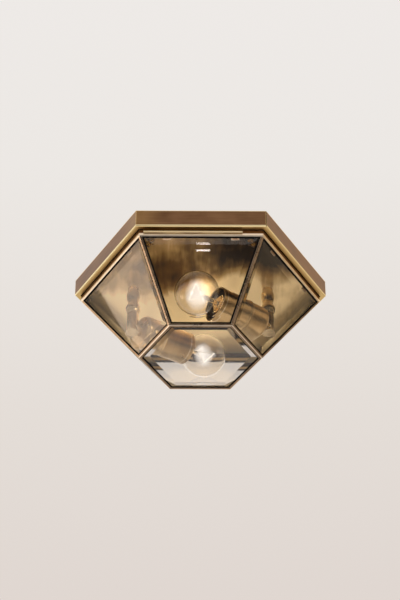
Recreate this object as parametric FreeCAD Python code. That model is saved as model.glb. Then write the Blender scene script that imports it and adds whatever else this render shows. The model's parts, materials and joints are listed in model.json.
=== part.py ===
"""Hexagonal flush ceiling light in antique brass with a hinged lantern of bevelled glass.

Millimetres, +Z up. The origin is the centre of the canopy on the ceiling plane, the light hangs
below it, and the front side, which carries the hinge, faces -Y. Right is +X. Depths are distances
below the ceiling. An apothem is half the distance between two flat sides of a hexagon.
"""
import FreeCAD, Part
import math
import os

os.makedirs("parts", exist_ok=True)

Vector = FreeCAD.Vector

# General values
overrun = 2.0
sides = 6
half_turn = 180.0
full_turn = 360.0
quarter_turn = 90.0
front_angle = -90.0
side_angle = full_turn / sides
corner_cosine = math.cos(math.radians(side_angle / 2))
corner_tangent = math.tan(math.radians(side_angle / 2))

# Canopy wall: a band of sheet with an inward lip, closed by a seam at its front right corner
canopy_corner_radius = 128.0
canopy_sheet = 1.0
canopy_lip_width = 4.8
canopy_edge_radius = 1.2
canopy_seam_width = 0.5
canopy_seam_depth = 0.5

# Reflector plate: a tray soldered inside the canopy wall
wiring_room = 8.1
tray_sheet = 1.0
tray_flange_height = 6.0

# Mounting plate on the ceiling, with the bushes that take the plate screws
mount_sheet = 1.5
mount_length_x = 120.0
mount_setback = 25.85
mount_corner_radius = 8.0
mount_window_x = 50.0
mount_window_y = 34.0
mount_window_radius = 4.0
ceiling_slot_spacing = 80.0
ceiling_slot_length = 12.0
ceiling_slot_radius = 2.5
bush_inset_x = 10.0
bush_inset_y = 12.0
bush_radius = 4.0
bush_bore_radius = 1.75

# Screws through the reflector plate
plate_screw_clearance = 0.05
plate_screw_hole_radius = 2.1
plate_screw_top = 3.2
plate_screw_head_radius = 3.6
plate_screw_head_height = 2.0
plate_screw_slot_width = 0.9
plate_screw_slot_depth = 0.8

# Terminal block on top of the reflector plate
block_length_x = 16.0
block_length_y = 27.0
block_top_gap = 0.9
block_poles = 3
block_pole_pitch = 8.5
block_wire_bore_radius = 1.3
block_groove_width = 1.2
block_groove_depth = 3.0
terminal_screw_radius = 1.5
terminal_screw_height = 2.2
terminal_screw_spacing = 8.0
terminal_slot_width = 0.5
terminal_slot_depth = 0.6

# Earth terminal
earth_offset_x = 30.0
earth_offset_y = 40.0
earth_stud_radius = 2.0
earth_stud_height = 6.0
earth_washer_radius = 4.5
earth_washer_thickness = 0.8
earth_nut_width = 7.0
earth_nut_height = 2.6

# Pillars, turned from bar, with a threaded stub through the reflector plate
pillar_place_base = 20.1
pillar_place_share = 0.4508
pillar_neck_radius = 5.4
pillar_shaft_radius = 5.7
pillar_bead_radius = 6.6
pillar_swell_radius = 7.3
pillar_foot_radius = 6.5
pillar_foot_height = 1.3
pillar_foot_edge = 0.4
pillar_below_lamp = 5.66
pillar_neck_height = 2.6
pillar_bead_length = 13.5
pillar_swell_gap = 4.6
pillar_swell_length = 9.8
pillar_waist_length = 3.6
pillar_stub_radius = 5.0
pillar_stub_show = 0.5
pillar_bore_radius = 3.2
pillar_bore_floor = 3.8
pillar_nut_width = 14.0
pillar_nut_height = 2.5
fit_clearance = 0.05

# Lampholders, turned to their pillars and rising a little towards the globes
lamp_tilt = 3.3
lamp_above_bottom = 42.7
globe_pane_gap = 0.9
cup_mouth = 23.2
cup_room = 12.0
cup_setback = 9.6
cup_radius = 16.6
cup_sheet = 1.0
cup_ring_setback = 24.0
cup_ring_width = 3.6
cup_ring_rise = 0.8
cup_shoulder_length = 4.0
cup_shoulder_radius = 12.6
cup_mouth_roll = 0.6
nipple_radius = 4.0
nipple_bore_radius = 2.6
nipple_hold = 5.5
nipple_inset = 3.6
spacer_radius = 5.6
cup_nut_width = 12.0
cup_nut_height = 2.5

# Insulating socket body and the metal shell in it
socket_start = 24.4
socket_collar_gap = 0.3
socket_collar_length = 7.0
socket_mouth_radius = 9.3
socket_mouth_chamfer = 0.7
socket_body_radius = 12.5
socket_floor_sheet = 2.0
socket_neck_length = 4.5
socket_neck_radius = 8.0
socket_pocket_radius = 5.0
socket_pocket_depth = 4.6
contact_gap = 0.5
shell_sheet = 0.5
shell_start = 26.4
shell_step = 35.5
shell_end = 51.0
shell_bore_radius = 7.2
contact_radius = 3.4
contact_thickness = 0.5
contact_tail_length = 3.6
contact_tail_width = 2.0

# Lamp bulb: distances are measured from the centre of its globe along the holder's axis
globe_radius = 22.5
bulb_glass_wall = 0.7
globe_exit_angle = 50.0
bulb_neck_radius = 7.8
bulb_neck_end = 32.4
bulb_neck_blend = 12.0
cap_wall = 0.4
cap_skirt_start = 29.6
cap_skirt_end = 33.0
cap_thread_start = 34.3
cap_thread_pitch = 2.8
cap_thread_turns = 5
cap_thread_radius = 6.9
cap_thread_root = 6.3
cap_end = 50.4
base_end = 52.8
base_tip_radius = 3.2
bulb_tip_end = 54.4
bulb_tip_radius = 2.4
bulb_tip_dome = 0.8
stem_foot = 31.0
stem_foot_length = 1.0
stem_shoulder = 24.0
stem_rod_radius = 2.2
stem_top = 9.0
lead_radius = 0.3
lead_spread = 8.6
lead_foot_spread = 1.2
lead_foot = 10.5
filament_level = -1.0
filament_radius = 0.55
filament_rise = 7.0

# Wires from the terminal block through the pillars into the sockets
wire_radius = 1.1
wire_stub_gap = 0.3
wire_entry = 2.0
wire_upper_bend = 3.0
wire_lower_bend = 5.0
wire_pocket_place = 2.1

# Lantern: pitched sides between a top rim and a bottom frame
rim_gap = 0.915
rim_drop = 6.7
rim_rise = 6.6
rim_sheet = 1.0
rim_flange_width = 1.35
bottom_share = 0.5066
bottom_depth = 98.2
came_sheet = 0.6
came_wing_width = 1.9
bottom_strip_width = 1.9
bottom_flange_width = 2.4

# Glass, seals and clips
glass_thickness = 3.0
glass_edge_thickness = 1.6
glass_bevel_width = 8.0
glass_side_gap = 0.15
glass_top_gap = 0.2
glass_lower_edge = 1.3
bottom_glass_gap = 1.6
seal_thickness = 0.2
seal_show = 1.7
clip_width = 8.0
clip_thickness = 0.5
clip_reach = 4.0
clip_gap = 0.3
clip_place_share = 0.55

# Hinge at the front
hinge_left_inset = 4.2
hinge_right_inset = 20.2
hinge_knuckles = 5
hinge_knuckle_gap = 0.3
hinge_below_canopy = 4.0
hinge_barrel_radius = 0.95
hinge_pin_radius = 0.45
hinge_pin_clearance = 0.05
hinge_leaf_sheet = 0.4
hinge_play = 0.3
hinge_flange_gap = 0.5
hinge_drop = 0.3
hinge_web_depth = 0.65
moving_leaf_top = 0.2
moving_leaf_height = 2.4
moving_web_height = 0.7

# Closing screw at the rear
closing_boss_gap = 1.2
closing_lip_gap = 0.2
closing_screw_radius = 2.0
closing_screw_clearance = 0.05
closing_tip_gap = 0.5
closing_boss_radius = 3.3
closing_boss_length = 3.2
closing_head_gap = 1.7
closing_head_radius = 4.0
closing_head_length = 6.0
closing_head_edge = 0.5
closing_collar_radius = 2.9
closing_flutes = 20
closing_flute_radius = 0.4
catch_width = 16.0
catch_height = 9.0
catch_thickness = 1.2
catch_drop = 0.6

# Worked out from the sizes above
canopy_apothem = canopy_corner_radius * corner_cosine
tray_depth = mount_sheet + wiring_room + tray_sheet
closing_depth = tray_depth + closing_boss_gap + closing_boss_radius
canopy_height = closing_depth + closing_boss_radius + closing_lip_gap + canopy_sheet
wall_inner_apothem = canopy_apothem - canopy_sheet
mount_length_y = 2 * (canopy_apothem - mount_setback)
bush_offset_x = mount_length_x / 2 - bush_inset_x
bush_offset_y = mount_length_y / 2 - bush_inset_y
lip_apothem = canopy_apothem - canopy_lip_width
lip_top = canopy_sheet - canopy_height
tray_top = tray_sheet - tray_depth
block_height = wiring_room - block_top_gap
pillar_stub_height = pillar_nut_height + pillar_stub_show
block_wire_height = pillar_stub_height + wire_stub_gap + wire_radius
rim_edge_depth = canopy_height + rim_drop
rim_top_depth = canopy_height - rim_rise
rim_apothem = lip_apothem - rim_gap
rim_corner_radius = rim_apothem / corner_cosine
rim_inner_apothem = rim_apothem - rim_sheet
bottom_corner_radius = rim_corner_radius * bottom_share
bottom_apothem = bottom_corner_radius * corner_cosine
side_rise = bottom_depth - rim_edge_depth
side_run = rim_apothem - bottom_apothem
side_length = math.hypot(side_run, side_rise)
side_run_share = side_run / side_length
side_rise_share = side_rise / side_length
glass_face = came_sheet + seal_thickness
glass_edge_back = glass_face + glass_edge_thickness
glass_back = glass_face + glass_thickness
hinge_leaf_face = rim_apothem + hinge_leaf_sheet
hinge_axis_apothem = hinge_leaf_face + hinge_play + hinge_barrel_radius
hinge_axis_level = -canopy_height - hinge_below_canopy
hinge_start = hinge_left_inset - rim_corner_radius / 2
hinge_length = rim_corner_radius - hinge_left_inset - hinge_right_inset
socket_pocket_start = bulb_tip_end + contact_gap
socket_floor = socket_pocket_start + socket_pocket_depth
socket_neck_start = socket_floor + socket_floor_sheet
socket_end = socket_neck_start + socket_neck_length
cup_end = socket_end + cup_room
cup_shoulder_start = cup_end - cup_shoulder_length
cup_ring_start = cup_end - cup_ring_setback
nipple_start = socket_end - nipple_hold
wire_end = socket_pocket_start + wire_pocket_place
lamp_reach = cup_end + cup_setback
pillar_offset = pillar_place_base + rim_apothem * pillar_place_share
lamp_depth = bottom_depth - lamp_above_bottom
lamp_run = lamp_reach * math.cos(math.radians(lamp_tilt))
lamp_end_depth = lamp_depth + lamp_reach * math.sin(math.radians(lamp_tilt))
globe_inset = glass_back + globe_pane_gap + globe_radius
globe_offset_y = bottom_apothem + (lamp_above_bottom * side_run_share - globe_inset) / side_rise_share
lamp_yaw = math.degrees(math.asin(globe_offset_y / lamp_run))
globe_offset_x = pillar_offset - lamp_run * math.cos(math.radians(lamp_yaw))
pillar_bottom_depth = lamp_end_depth + pillar_below_lamp
socket_collar_radius = cup_radius - cup_sheet - socket_collar_gap


def hexagon(apothem, level):
    """Return the corners of a hexagon with flat front and back sides."""
    radius = apothem / corner_cosine
    angles = [math.radians(side_angle * index) for index in range(sides)]
    return [Vector(radius * math.cos(a), radius * math.sin(a), level) for a in angles]


def face_of(points):
    """Return a flat face bounded by straight edges through the points."""
    return Part.Face(Part.makePolygon(points + points[:1]))


def solid_through(*rings):
    """Return the flat-sided solid through level rings of equally many counter-clockwise corners."""
    rings = sorted(rings, key=lambda ring: ring[0].z)
    faces = [face_of(rings[0][::-1]), face_of(rings[-1])]
    for lower, upper in zip(rings, rings[1:]):
        for index in range(len(lower)):
            after = (index + 1) % len(lower)
            faces.append(face_of([lower[index], lower[after], upper[after], upper[index]]))
    return Part.makeSolid(Part.makeShell(faces))


def hex_solid(lower_apothem, lower_level, upper_apothem, upper_level):
    """Return a hexagonal prism or frustum."""
    return solid_through(hexagon(lower_apothem, lower_level), hexagon(upper_apothem, upper_level))


def hex_ring(outer_apothem, inner_apothem, lower_level, upper_level):
    """Return a hexagonal tube with upright walls."""
    outer = hex_solid(outer_apothem, lower_level, outer_apothem, upper_level)
    inner = hex_solid(inner_apothem, lower_level - overrun, inner_apothem, upper_level + overrun)
    return outer.cut(inner)


def cylinder(radius, start, end):
    """Return a cylinder between two points."""
    way = end - start
    return Part.makeCylinder(radius, way.Length, start, way)


def box_between(low, high):
    """Return an upright box between two opposite corners."""
    size = high - low
    return Part.makeBox(size.x, size.y, size.z, low)


def rounded_box(low, high, radius):
    """Return a box whose four upright edges are rounded."""
    box = box_between(low, high)
    upright = [e for e in box.Edges if abs(e.tangentAt(e.FirstParameter).z) == 1]
    return box.makeFillet(radius, upright)


def hex_nut(width, bore_radius, start, height):
    """Return an upright hexagonal nut that stands on the point start."""
    nut = hex_solid(width / 2, 0, width / 2, height)
    nut.translate(start)
    top = start + Vector(0, 0, height + overrun)
    return nut.cut(cylinder(bore_radius, start - Vector(0, 0, overrun), top))


def turned(profile):
    """Return the solid that a profile of (distance, radius) corners makes about the X axis."""
    points = [Vector(distance, radius, 0) for distance, radius in profile]
    return face_of(points).revolve(Vector(0, 0, 0), Vector(1, 0, 0), full_turn)


def turned_edges(edges):
    """Return the solid that a closed run of edges in the XY plane makes about the X axis."""
    wire = Part.Wire(Part.__sortEdges__(edges))
    return Part.Face(wire).revolve(Vector(0, 0, 0), Vector(1, 0, 0), full_turn)


def line(start, end):
    """Return a straight edge."""
    return Part.LineSegment(start, end).toShape()


def arc(start, middle, end):
    """Return an edge of a circle through three points."""
    return Part.Arc(start, middle, end).toShape()


def about_z(shape, angle):
    """Return a copy turned about the Z axis."""
    copy = shape.copy()
    copy.rotate(Vector(0, 0, 0), Vector(0, 0, 1), angle)
    return copy


def fused(shapes):
    """Return the union of the shapes without the seams between them."""
    return shapes[0].fuse(shapes[1:]).removeSplitter()


def save(name, *solids):
    """Write one piece, or a group of like pieces, to its own file."""
    shape = solids[0] if len(solids) == 1 else Part.makeCompound(list(solids))
    shape.exportStep("parts/" + name + ".step")


def four_places(offset_x, offset_y):
    """Return the corners of a rectangle about the origin."""
    return [Vector(x, y, 0) for x in (-offset_x, offset_x) for y in (-offset_y, offset_y)]


# Canopy and what it holds

def canopy_wall():
    """Wall band with its lip, seam groove and the hole of the closing screw."""
    block = hex_solid(canopy_apothem, -canopy_height, canopy_apothem, 0)
    lower = [e for e in block.Edges if e.BoundBox.ZMax < lip_top]
    block = block.makeFillet(canopy_edge_radius, lower)
    room = hex_solid(wall_inner_apothem, lip_top, wall_inner_apothem, overrun)
    mouth = hex_solid(lip_apothem, -canopy_height - overrun, lip_apothem, overrun)
    groove_half = canopy_seam_width / 2
    groove_low = Vector(canopy_corner_radius - canopy_seam_depth, -groove_half, lip_top)
    groove_high = Vector(canopy_corner_radius + overrun, groove_half, overrun)
    groove = about_z(box_between(groove_low, groove_high), -side_angle)
    return block.cut(room).cut(mouth).cut(groove).cut(closing_bore())


def reflector_plate():
    """Hexagonal tray whose flange is soldered to the canopy wall."""
    tray = hex_solid(wall_inner_apothem, -tray_depth, wall_inner_apothem, tray_top + tray_flange_height)
    inside_apothem = wall_inner_apothem - tray_sheet
    tray = tray.cut(hex_solid(inside_apothem, tray_top, inside_apothem, overrun))
    for place in four_places(bush_offset_x, bush_offset_y):
        tray = tray.cut(upright(plate_screw_hole_radius, place, -tray_depth - overrun, 0))
    for place in (Vector(-pillar_offset, 0, 0), Vector(pillar_offset, 0, 0)):
        hole_radius = pillar_stub_radius + fit_clearance
        tray = tray.cut(upright(hole_radius, place, -tray_depth - overrun, 0))
    return tray


def upright(radius, place, low, high):
    """Return an upright cylinder over a place, between two levels."""
    return cylinder(radius, place + Vector(0, 0, low), place + Vector(0, 0, high))


def mounting_plate():
    """Steel plate with two slots for the ceiling screws and a window for the cable."""
    half = Vector(mount_length_x / 2, mount_length_y / 2, 0)
    plate = rounded_box(-half - Vector(0, 0, mount_sheet), half, mount_corner_radius)
    window = Vector(mount_window_x / 2, mount_window_y / 2, overrun)
    plate = plate.cut(rounded_box(-window, window, mount_window_radius))
    for middle in (-ceiling_slot_spacing / 2, ceiling_slot_spacing / 2):
        plate = plate.cut(ceiling_slot(middle))
    return plate


def ceiling_slot(middle):
    """Return the cutter of one slot that runs along X."""
    reach = ceiling_slot_length / 2 - ceiling_slot_radius
    low = Vector(middle - reach, -ceiling_slot_radius, -overrun)
    high = Vector(middle + reach, ceiling_slot_radius, overrun)
    ends = [upright(ceiling_slot_radius, Vector(x, 0, 0), -overrun, overrun) for x in (low.x, high.x)]
    return fused([box_between(low, high)] + ends)


def mounting_bushes():
    """Four tapped bushes that stand between the mounting plate and the reflector plate."""
    bushes = []
    for place in four_places(bush_offset_x, bush_offset_y):
        bush = upright(bush_radius, place, tray_top, -mount_sheet)
        bushes.append(bush.cut(upright(bush_bore_radius, place, -tray_depth, 0)))
    return bushes


def plate_screw(place):
    """Slotted screw with a domed head under the reflector plate."""
    shank_radius = bush_bore_radius - plate_screw_clearance
    shank = upright(shank_radius, place, -tray_depth, -plate_screw_top)
    sphere_radius = (plate_screw_head_radius ** 2 + plate_screw_head_height ** 2) / 2
    sphere_radius = sphere_radius / plate_screw_head_height
    centre_level = sphere_radius - tray_depth - plate_screw_head_height
    dome = Part.makeSphere(sphere_radius, place + Vector(0, 0, centre_level))
    low = -tray_depth - plate_screw_head_height
    head = dome.common(upright(plate_screw_head_radius, place, low, -tray_depth))
    slot_half = Vector(plate_screw_head_radius, plate_screw_slot_width / 2, 0)
    slot_top = Vector(0, 0, low + plate_screw_slot_depth)
    slot_low = Vector(0, 0, low - overrun)
    head = head.cut(box_between(place - slot_half + slot_low, place + slot_half + slot_top))
    return fused([shank, head])


def terminal_block():
    """Three-pole block with wire bores along X and screw wells from above."""
    half = Vector(block_length_x / 2, block_length_y / 2, 0)
    block = box_between(-half + Vector(0, 0, tray_top), half + Vector(0, 0, tray_top + block_height))
    for pole in block_pole_places():
        bore_level = Vector(0, 0, tray_top + block_wire_height)
        way = Vector(half.x + overrun, 0, 0)
        block = block.cut(cylinder(block_wire_bore_radius, pole + bore_level - way, pole + bore_level + way))
    for place in terminal_screw_places():
        low = tray_top + block_height - terminal_screw_height
        block = block.cut(upright(terminal_screw_radius, place, low, overrun))
    for gap in range(block_poles - 1):
        middle = (gap + 1 - block_poles / 2) * block_pole_pitch
        low = Vector(-half.x - overrun, middle - block_groove_width / 2, -block_groove_depth)
        high = Vector(half.x + overrun, middle + block_groove_width / 2, overrun)
        level = Vector(0, 0, tray_top + block_height)
        block = block.cut(box_between(low + level, high + level))
    return block


def block_pole_places():
    """Return the middles of the block's poles."""
    middle = (block_poles - 1) / 2
    return [Vector(0, (pole - middle) * block_pole_pitch, 0) for pole in range(block_poles)]


def terminal_screw_places():
    """Return the places of the screws, two on each pole."""
    reach = Vector(terminal_screw_spacing / 2, 0, 0)
    return [pole + side for pole in block_pole_places() for side in (-reach, reach)]


def terminal_screws():
    """Slotted grub screws in the terminal block."""
    top = tray_top + block_height
    screws = []
    for place in terminal_screw_places():
        screw = upright(terminal_screw_radius, place, top - terminal_screw_height, top)
        half = Vector(terminal_screw_radius, terminal_slot_width / 2, 0)
        low = place - half + Vector(0, 0, top - terminal_slot_depth)
        screws.append(screw.cut(box_between(low, place + half + Vector(0, 0, top + overrun))))
    return screws


def earth_terminal():
    """Stud, washer and nut on top of the reflector plate."""
    foot = Vector(earth_offset_x, earth_offset_y, tray_top)
    stud = cylinder(earth_stud_radius, foot, foot + Vector(0, 0, earth_stud_height))
    bore_radius = earth_stud_radius + fit_clearance
    nut_foot = foot + Vector(0, 0, earth_washer_thickness)
    washer = cylinder(earth_washer_radius, foot, nut_foot).cut(cylinder(bore_radius, foot, nut_foot))
    nut = hex_nut(earth_nut_width, bore_radius, nut_foot, earth_nut_height)
    return stud, washer, nut


# Pillars and lampholders, modelled on the right and turned half round for the left

def pillar_profile():
    """Return the turned outline of a pillar as edges, from its stub down to its foot."""
    levels = [tray_top + pillar_stub_height, -tray_depth, -tray_depth - pillar_neck_height]
    bead_end = levels[-1] - pillar_bead_length
    swell_start = bead_end - pillar_swell_gap
    swell_end = swell_start - pillar_swell_length
    waist_end = swell_end - pillar_waist_length
    foot_top = pillar_foot_height - pillar_bottom_depth
    top, seat, neck_end = levels
    bead_middle = (neck_end + bead_end) / 2
    swell_peak = (swell_start + swell_end) / 2
    waist_middle = (swell_end + waist_end) / 2
    corners = [
        Vector(0, 0, top), Vector(pillar_stub_radius, 0, top), Vector(pillar_stub_radius, 0, seat),
        Vector(pillar_neck_radius, 0, seat), Vector(pillar_neck_radius, 0, neck_end)]
    edges = [line(a, b) for a, b in zip(corners, corners[1:])]
    bead_bottom = Vector(pillar_neck_radius, 0, bead_end)
    edges.append(arc(corners[-1], Vector(pillar_bead_radius, 0, bead_middle), bead_bottom))
    swell_top = Vector(pillar_shaft_radius, 0, swell_start)
    swell_bottom = Vector(pillar_shaft_radius, 0, swell_end)
    waist_bottom = Vector(pillar_shaft_radius, 0, waist_end)
    gap_middle = (bead_end + swell_start) / 2
    edges.append(arc(bead_bottom, Vector(pillar_neck_radius, 0, gap_middle), swell_top))
    edges.append(arc(swell_top, Vector(pillar_swell_radius, 0, swell_peak), swell_bottom))
    edges.append(arc(swell_bottom, Vector(pillar_neck_radius, 0, waist_middle), waist_bottom))
    foot = [
        waist_bottom, Vector(pillar_shaft_radius, 0, foot_top), Vector(pillar_foot_radius, 0, foot_top),
        Vector(pillar_foot_radius, 0, pillar_foot_edge - pillar_bottom_depth),
        Vector(pillar_foot_radius - pillar_foot_edge, 0, -pillar_bottom_depth),
        Vector(0, 0, -pillar_bottom_depth), corners[0]]
    return edges + [line(a, b) for a, b in zip(foot, foot[1:])]


def turned_bar():
    """Return a pillar on the Z axis before it is drilled."""
    outline = Part.Face(Part.Wire(Part.__sortEdges__(pillar_profile())))
    return outline.revolve(Vector(0, 0, 0), Vector(0, 0, 1), full_turn)


def right_pillar():
    """Pillar with its wire bore and the side hole of the nipple."""
    bar = turned_bar()
    bar.translate(Vector(pillar_offset, 0, 0))
    foot = Vector(pillar_offset, 0, 0)
    bore = upright(pillar_bore_radius, foot, pillar_bore_floor - pillar_bottom_depth, 0)
    hole = along_lamp(along_x(nipple_radius + fit_clearance, cup_end - overrun, lamp_reach))
    return bar.cut(bore).cut(hole)


def pillar_nut():
    """Lock nut of the right pillar on top of the reflector plate."""
    start = Vector(pillar_offset, 0, tray_top)
    return hex_nut(pillar_nut_width, pillar_stub_radius + fit_clearance, start, pillar_nut_height)


def along_x(radius, start, end):
    """Return a cylinder on the X axis."""
    return cylinder(radius, Vector(start, 0, 0), Vector(end, 0, 0))


def along_lamp(shape):
    """Move a shape from the X axis, globe centre at zero, to the right lamp's axis."""
    placed = shape.copy()
    placed.rotate(Vector(0, 0, 0), Vector(0, 1, 0), lamp_tilt)
    placed = about_z(placed, lamp_yaw)
    placed.translate(Vector(globe_offset_x, -globe_offset_y, -lamp_depth))
    return placed


def cup_outline(mouth, radius, end, shoulder_radius):
    """Return the straight wall and rounded closed end of a cup as edges down to its axis."""
    blend = end - cup_shoulder_start
    half_sine = math.sin(math.radians(quarter_turn / 2))
    middle = Vector(cup_shoulder_start + blend * half_sine, 0, 0)
    drop = radius - shoulder_radius
    middle.y = shoulder_radius + drop * half_sine
    corner = Vector(cup_shoulder_start, radius, 0)
    top = Vector(end, shoulder_radius, 0)
    return [
        line(Vector(mouth, 0, 0), Vector(mouth, radius, 0)), line(Vector(mouth, radius, 0), corner),
        arc(corner, middle, top), line(top, Vector(end, 0, 0)),
        line(Vector(end, 0, 0), Vector(mouth, 0, 0))]


def holder_cup():
    """Spun brass cup with a rolled mouth and a raised ring."""
    outside = turned_edges(cup_outline(cup_mouth, cup_radius, cup_end, cup_shoulder_radius))
    inner_radius = cup_radius - cup_sheet
    inner_shoulder = cup_shoulder_radius - cup_sheet
    inside = turned_edges(cup_outline(cup_mouth - overrun, inner_radius, cup_end - cup_sheet, inner_shoulder))
    ring_end = cup_ring_start + cup_ring_width
    ring = turned([
        (cup_ring_start, inner_radius), (cup_ring_start, cup_radius),
        (cup_ring_start + cup_ring_rise, cup_radius + cup_ring_rise),
        (ring_end - cup_ring_rise, cup_radius + cup_ring_rise), (ring_end, cup_radius),
        (ring_end, inner_radius)])
    roll = Part.makeTorus(cup_radius - cup_sheet / 2, cup_mouth_roll, Vector(cup_mouth, 0, 0), Vector(1, 0, 0))
    hole = along_x(nipple_radius + fit_clearance, cup_mouth, cup_end + overrun)
    return along_lamp(fused([outside.cut(inside), ring, roll]).cut(hole))


def holder_nipple():
    """Threaded tube that joins pillar, spacer, cup and socket."""
    end = lamp_reach - nipple_inset
    tube = along_x(nipple_radius, nipple_start, end)
    return along_lamp(tube.cut(along_x(nipple_bore_radius, nipple_start - overrun, end + overrun)))


def holder_spacer():
    """Collar between the closed end of the cup and the pillar it is saddled to."""
    collar = along_x(spacer_radius, cup_end, lamp_reach)
    collar = collar.cut(along_x(nipple_radius + fit_clearance, cup_end - overrun, lamp_reach + overrun))
    bar = turned_bar()
    bar.translate(Vector(pillar_offset, 0, 0))
    return along_lamp(collar).cut(bar)


def cup_nut():
    """Lock nut on the nipple inside the cup."""
    nut = hex_nut(cup_nut_width, nipple_radius + fit_clearance, Vector(0, 0, 0), cup_nut_height)
    nut.rotate(Vector(0, 0, 0), Vector(0, 1, 0), quarter_turn)
    nut.translate(Vector(cup_end - cup_sheet - cup_nut_height, 0, 0))
    return along_lamp(nut)


def socket_body():
    """Black insulating body with its collar, shell bore and contact pocket."""
    collar_end = socket_start + socket_collar_length
    body = turned([
        (socket_start, 0), (socket_start, socket_collar_radius), (collar_end, socket_collar_radius),
        (collar_end, socket_body_radius), (socket_neck_start, socket_body_radius),
        (socket_neck_start, socket_neck_radius), (socket_end, socket_neck_radius), (socket_end, 0)])
    mouth_end = socket_start + socket_mouth_chamfer
    shell_outer = shell_bore_radius + shell_sheet
    cavity = turned([
        (socket_start, 0), (socket_start, socket_mouth_radius + socket_mouth_chamfer),
        (mouth_end, socket_mouth_radius), (shell_step, socket_mouth_radius), (shell_step, shell_outer),
        (socket_pocket_start, shell_outer), (socket_pocket_start, socket_pocket_radius),
        (socket_floor, socket_pocket_radius), (socket_floor, 0)])
    hole = along_x(nipple_radius + fit_clearance, socket_floor - overrun, socket_end + overrun)
    return along_lamp(body.cut(cavity).cut(hole))


def socket_shell():
    """Stepped metal shell: a wide entry and the threaded sleeve behind it."""
    entry_radius = socket_mouth_radius
    return along_lamp(turned([
        (shell_start, entry_radius), (shell_step, entry_radius),
        (shell_step, shell_bore_radius + shell_sheet), (shell_end, shell_bore_radius + shell_sheet),
        (shell_end, shell_bore_radius), (shell_step - shell_sheet, shell_bore_radius),
        (shell_step - shell_sheet, entry_radius - shell_sheet), (shell_start, entry_radius - shell_sheet)]))


def socket_contact():
    """Spring tongue at the bottom of the socket, with its tail in the pocket."""
    plate = along_x(contact_radius, socket_pocket_start, socket_pocket_start + contact_thickness)
    start = socket_pocket_start + contact_thickness
    half = contact_tail_width / 2
    low = Vector(start, contact_radius - contact_thickness, -half)
    high = Vector(start + contact_tail_length, contact_radius, half)
    corner = along_x(contact_radius, start, start + contact_tail_length)
    return along_lamp(fused([plate, box_between(low, high).common(corner)]))


# Bulb

def globe_outline(radius, neck_radius):
    """Return a globe that runs by a cone and a hollow curve into its neck, closed on the axis."""
    exit_angle = math.radians(globe_exit_angle)
    leave = Vector(radius * math.cos(exit_angle), radius * math.sin(exit_angle), 0)
    slope = Vector(math.sin(exit_angle), -math.cos(exit_angle), 0)
    cone_length = (leave.y - neck_radius) / math.cos(exit_angle)
    corner = leave + slope * cone_length
    tangent_length = bulb_neck_blend * math.tan((math.pi / 2 - exit_angle) / 2)
    start = corner - slope * tangent_length
    end = corner + Vector(tangent_length, 0, 0)
    centre = end + Vector(0, bulb_neck_blend, 0)
    inward = (corner - centre).normalize()
    middle = centre + inward * bulb_neck_blend
    last = Vector(bulb_neck_end, neck_radius, 0)
    pole = Vector(-radius, 0, 0)
    foot = Vector(bulb_neck_end, 0, 0)
    return [
        arc(pole, Vector(0, radius, 0), leave), line(leave, start), arc(start, middle, end),
        line(end, last), line(last, foot), line(foot, pole)]


def bulb_glass():
    """Clear globe with an open neck."""
    outside = turned_edges(globe_outline(globe_radius, bulb_neck_radius))
    inner_neck = bulb_neck_radius - bulb_glass_wall
    inside = turned_edges(globe_outline(globe_radius - bulb_glass_wall, inner_neck))
    opening = along_x(inner_neck, bulb_neck_end - overrun, bulb_neck_end + overrun)
    return along_lamp(outside.cut(inside).cut(opening))


def thread_profile(drop):
    """Return the cap's outline, skirt first, with rounded-off thread crests, inset by drop."""
    inner_skirt = bulb_neck_radius + fit_clearance
    skirt = inner_skirt + cap_wall - drop
    points = [(cap_skirt_start, skirt), (cap_skirt_end, skirt), (cap_thread_start, cap_thread_root - drop)]
    for turn in range(cap_thread_turns):
        start = cap_thread_start + turn * cap_thread_pitch
        points.append((start + cap_thread_pitch / 2, cap_thread_radius - drop))
        points.append((start + cap_thread_pitch, cap_thread_root - drop))
    return points + [(cap_end, cap_thread_root - drop)]


def bulb_cap():
    """Thin screw cap around the neck."""
    outer = thread_profile(0)
    inner = thread_profile(cap_wall)
    return along_lamp(turned(outer + inner[::-1]))


def bulb_base():
    """Black glass insulator at the end of the cap."""
    start_radius = cap_thread_root - cap_wall
    return along_lamp(turned([
        (cap_end - cap_wall, 0), (cap_end - cap_wall, start_radius), (cap_end, start_radius),
        (cap_end, cap_thread_root), (base_end, base_tip_radius), (base_end, 0)]))


def bulb_tip():
    """Soldered end contact."""
    return along_lamp(turned([
        (base_end, 0), (base_end, bulb_tip_radius), (bulb_tip_end - bulb_tip_dome, bulb_tip_radius),
        (bulb_tip_end, bulb_tip_radius - bulb_tip_dome), (bulb_tip_end, 0)]))


def bulb_stem():
    """Glass stem that carries the lead wires."""
    foot_radius = bulb_neck_radius - bulb_glass_wall - fit_clearance
    rod = turned([
        (stem_foot, 0), (stem_foot, foot_radius), (stem_foot - stem_foot_length, foot_radius),
        (stem_shoulder, stem_rod_radius), (stem_top, stem_rod_radius), (stem_top, 0)])
    for side in (-1, 1):
        rod = rod.cut(lead_wire(side, lead_radius + fit_clearance))
    return along_lamp(rod)


def lead_wire(side, radius):
    """Return one lead wire on the bulb's own axis, rising sideways in the level plane."""
    foot = Vector(lead_foot, side * lead_foot_spread, 0)
    return cylinder(radius, foot, lead_tip(side))


def lead_tip(side):
    """Return the point where a lead wire holds the filament."""
    return Vector(filament_level, side * lead_spread, 0)


def bulb_leads():
    """Two lead wires from the stem to the ends of the filament."""
    return [along_lamp(lead_wire(side, lead_radius)) for side in (-1, 1)]


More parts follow.
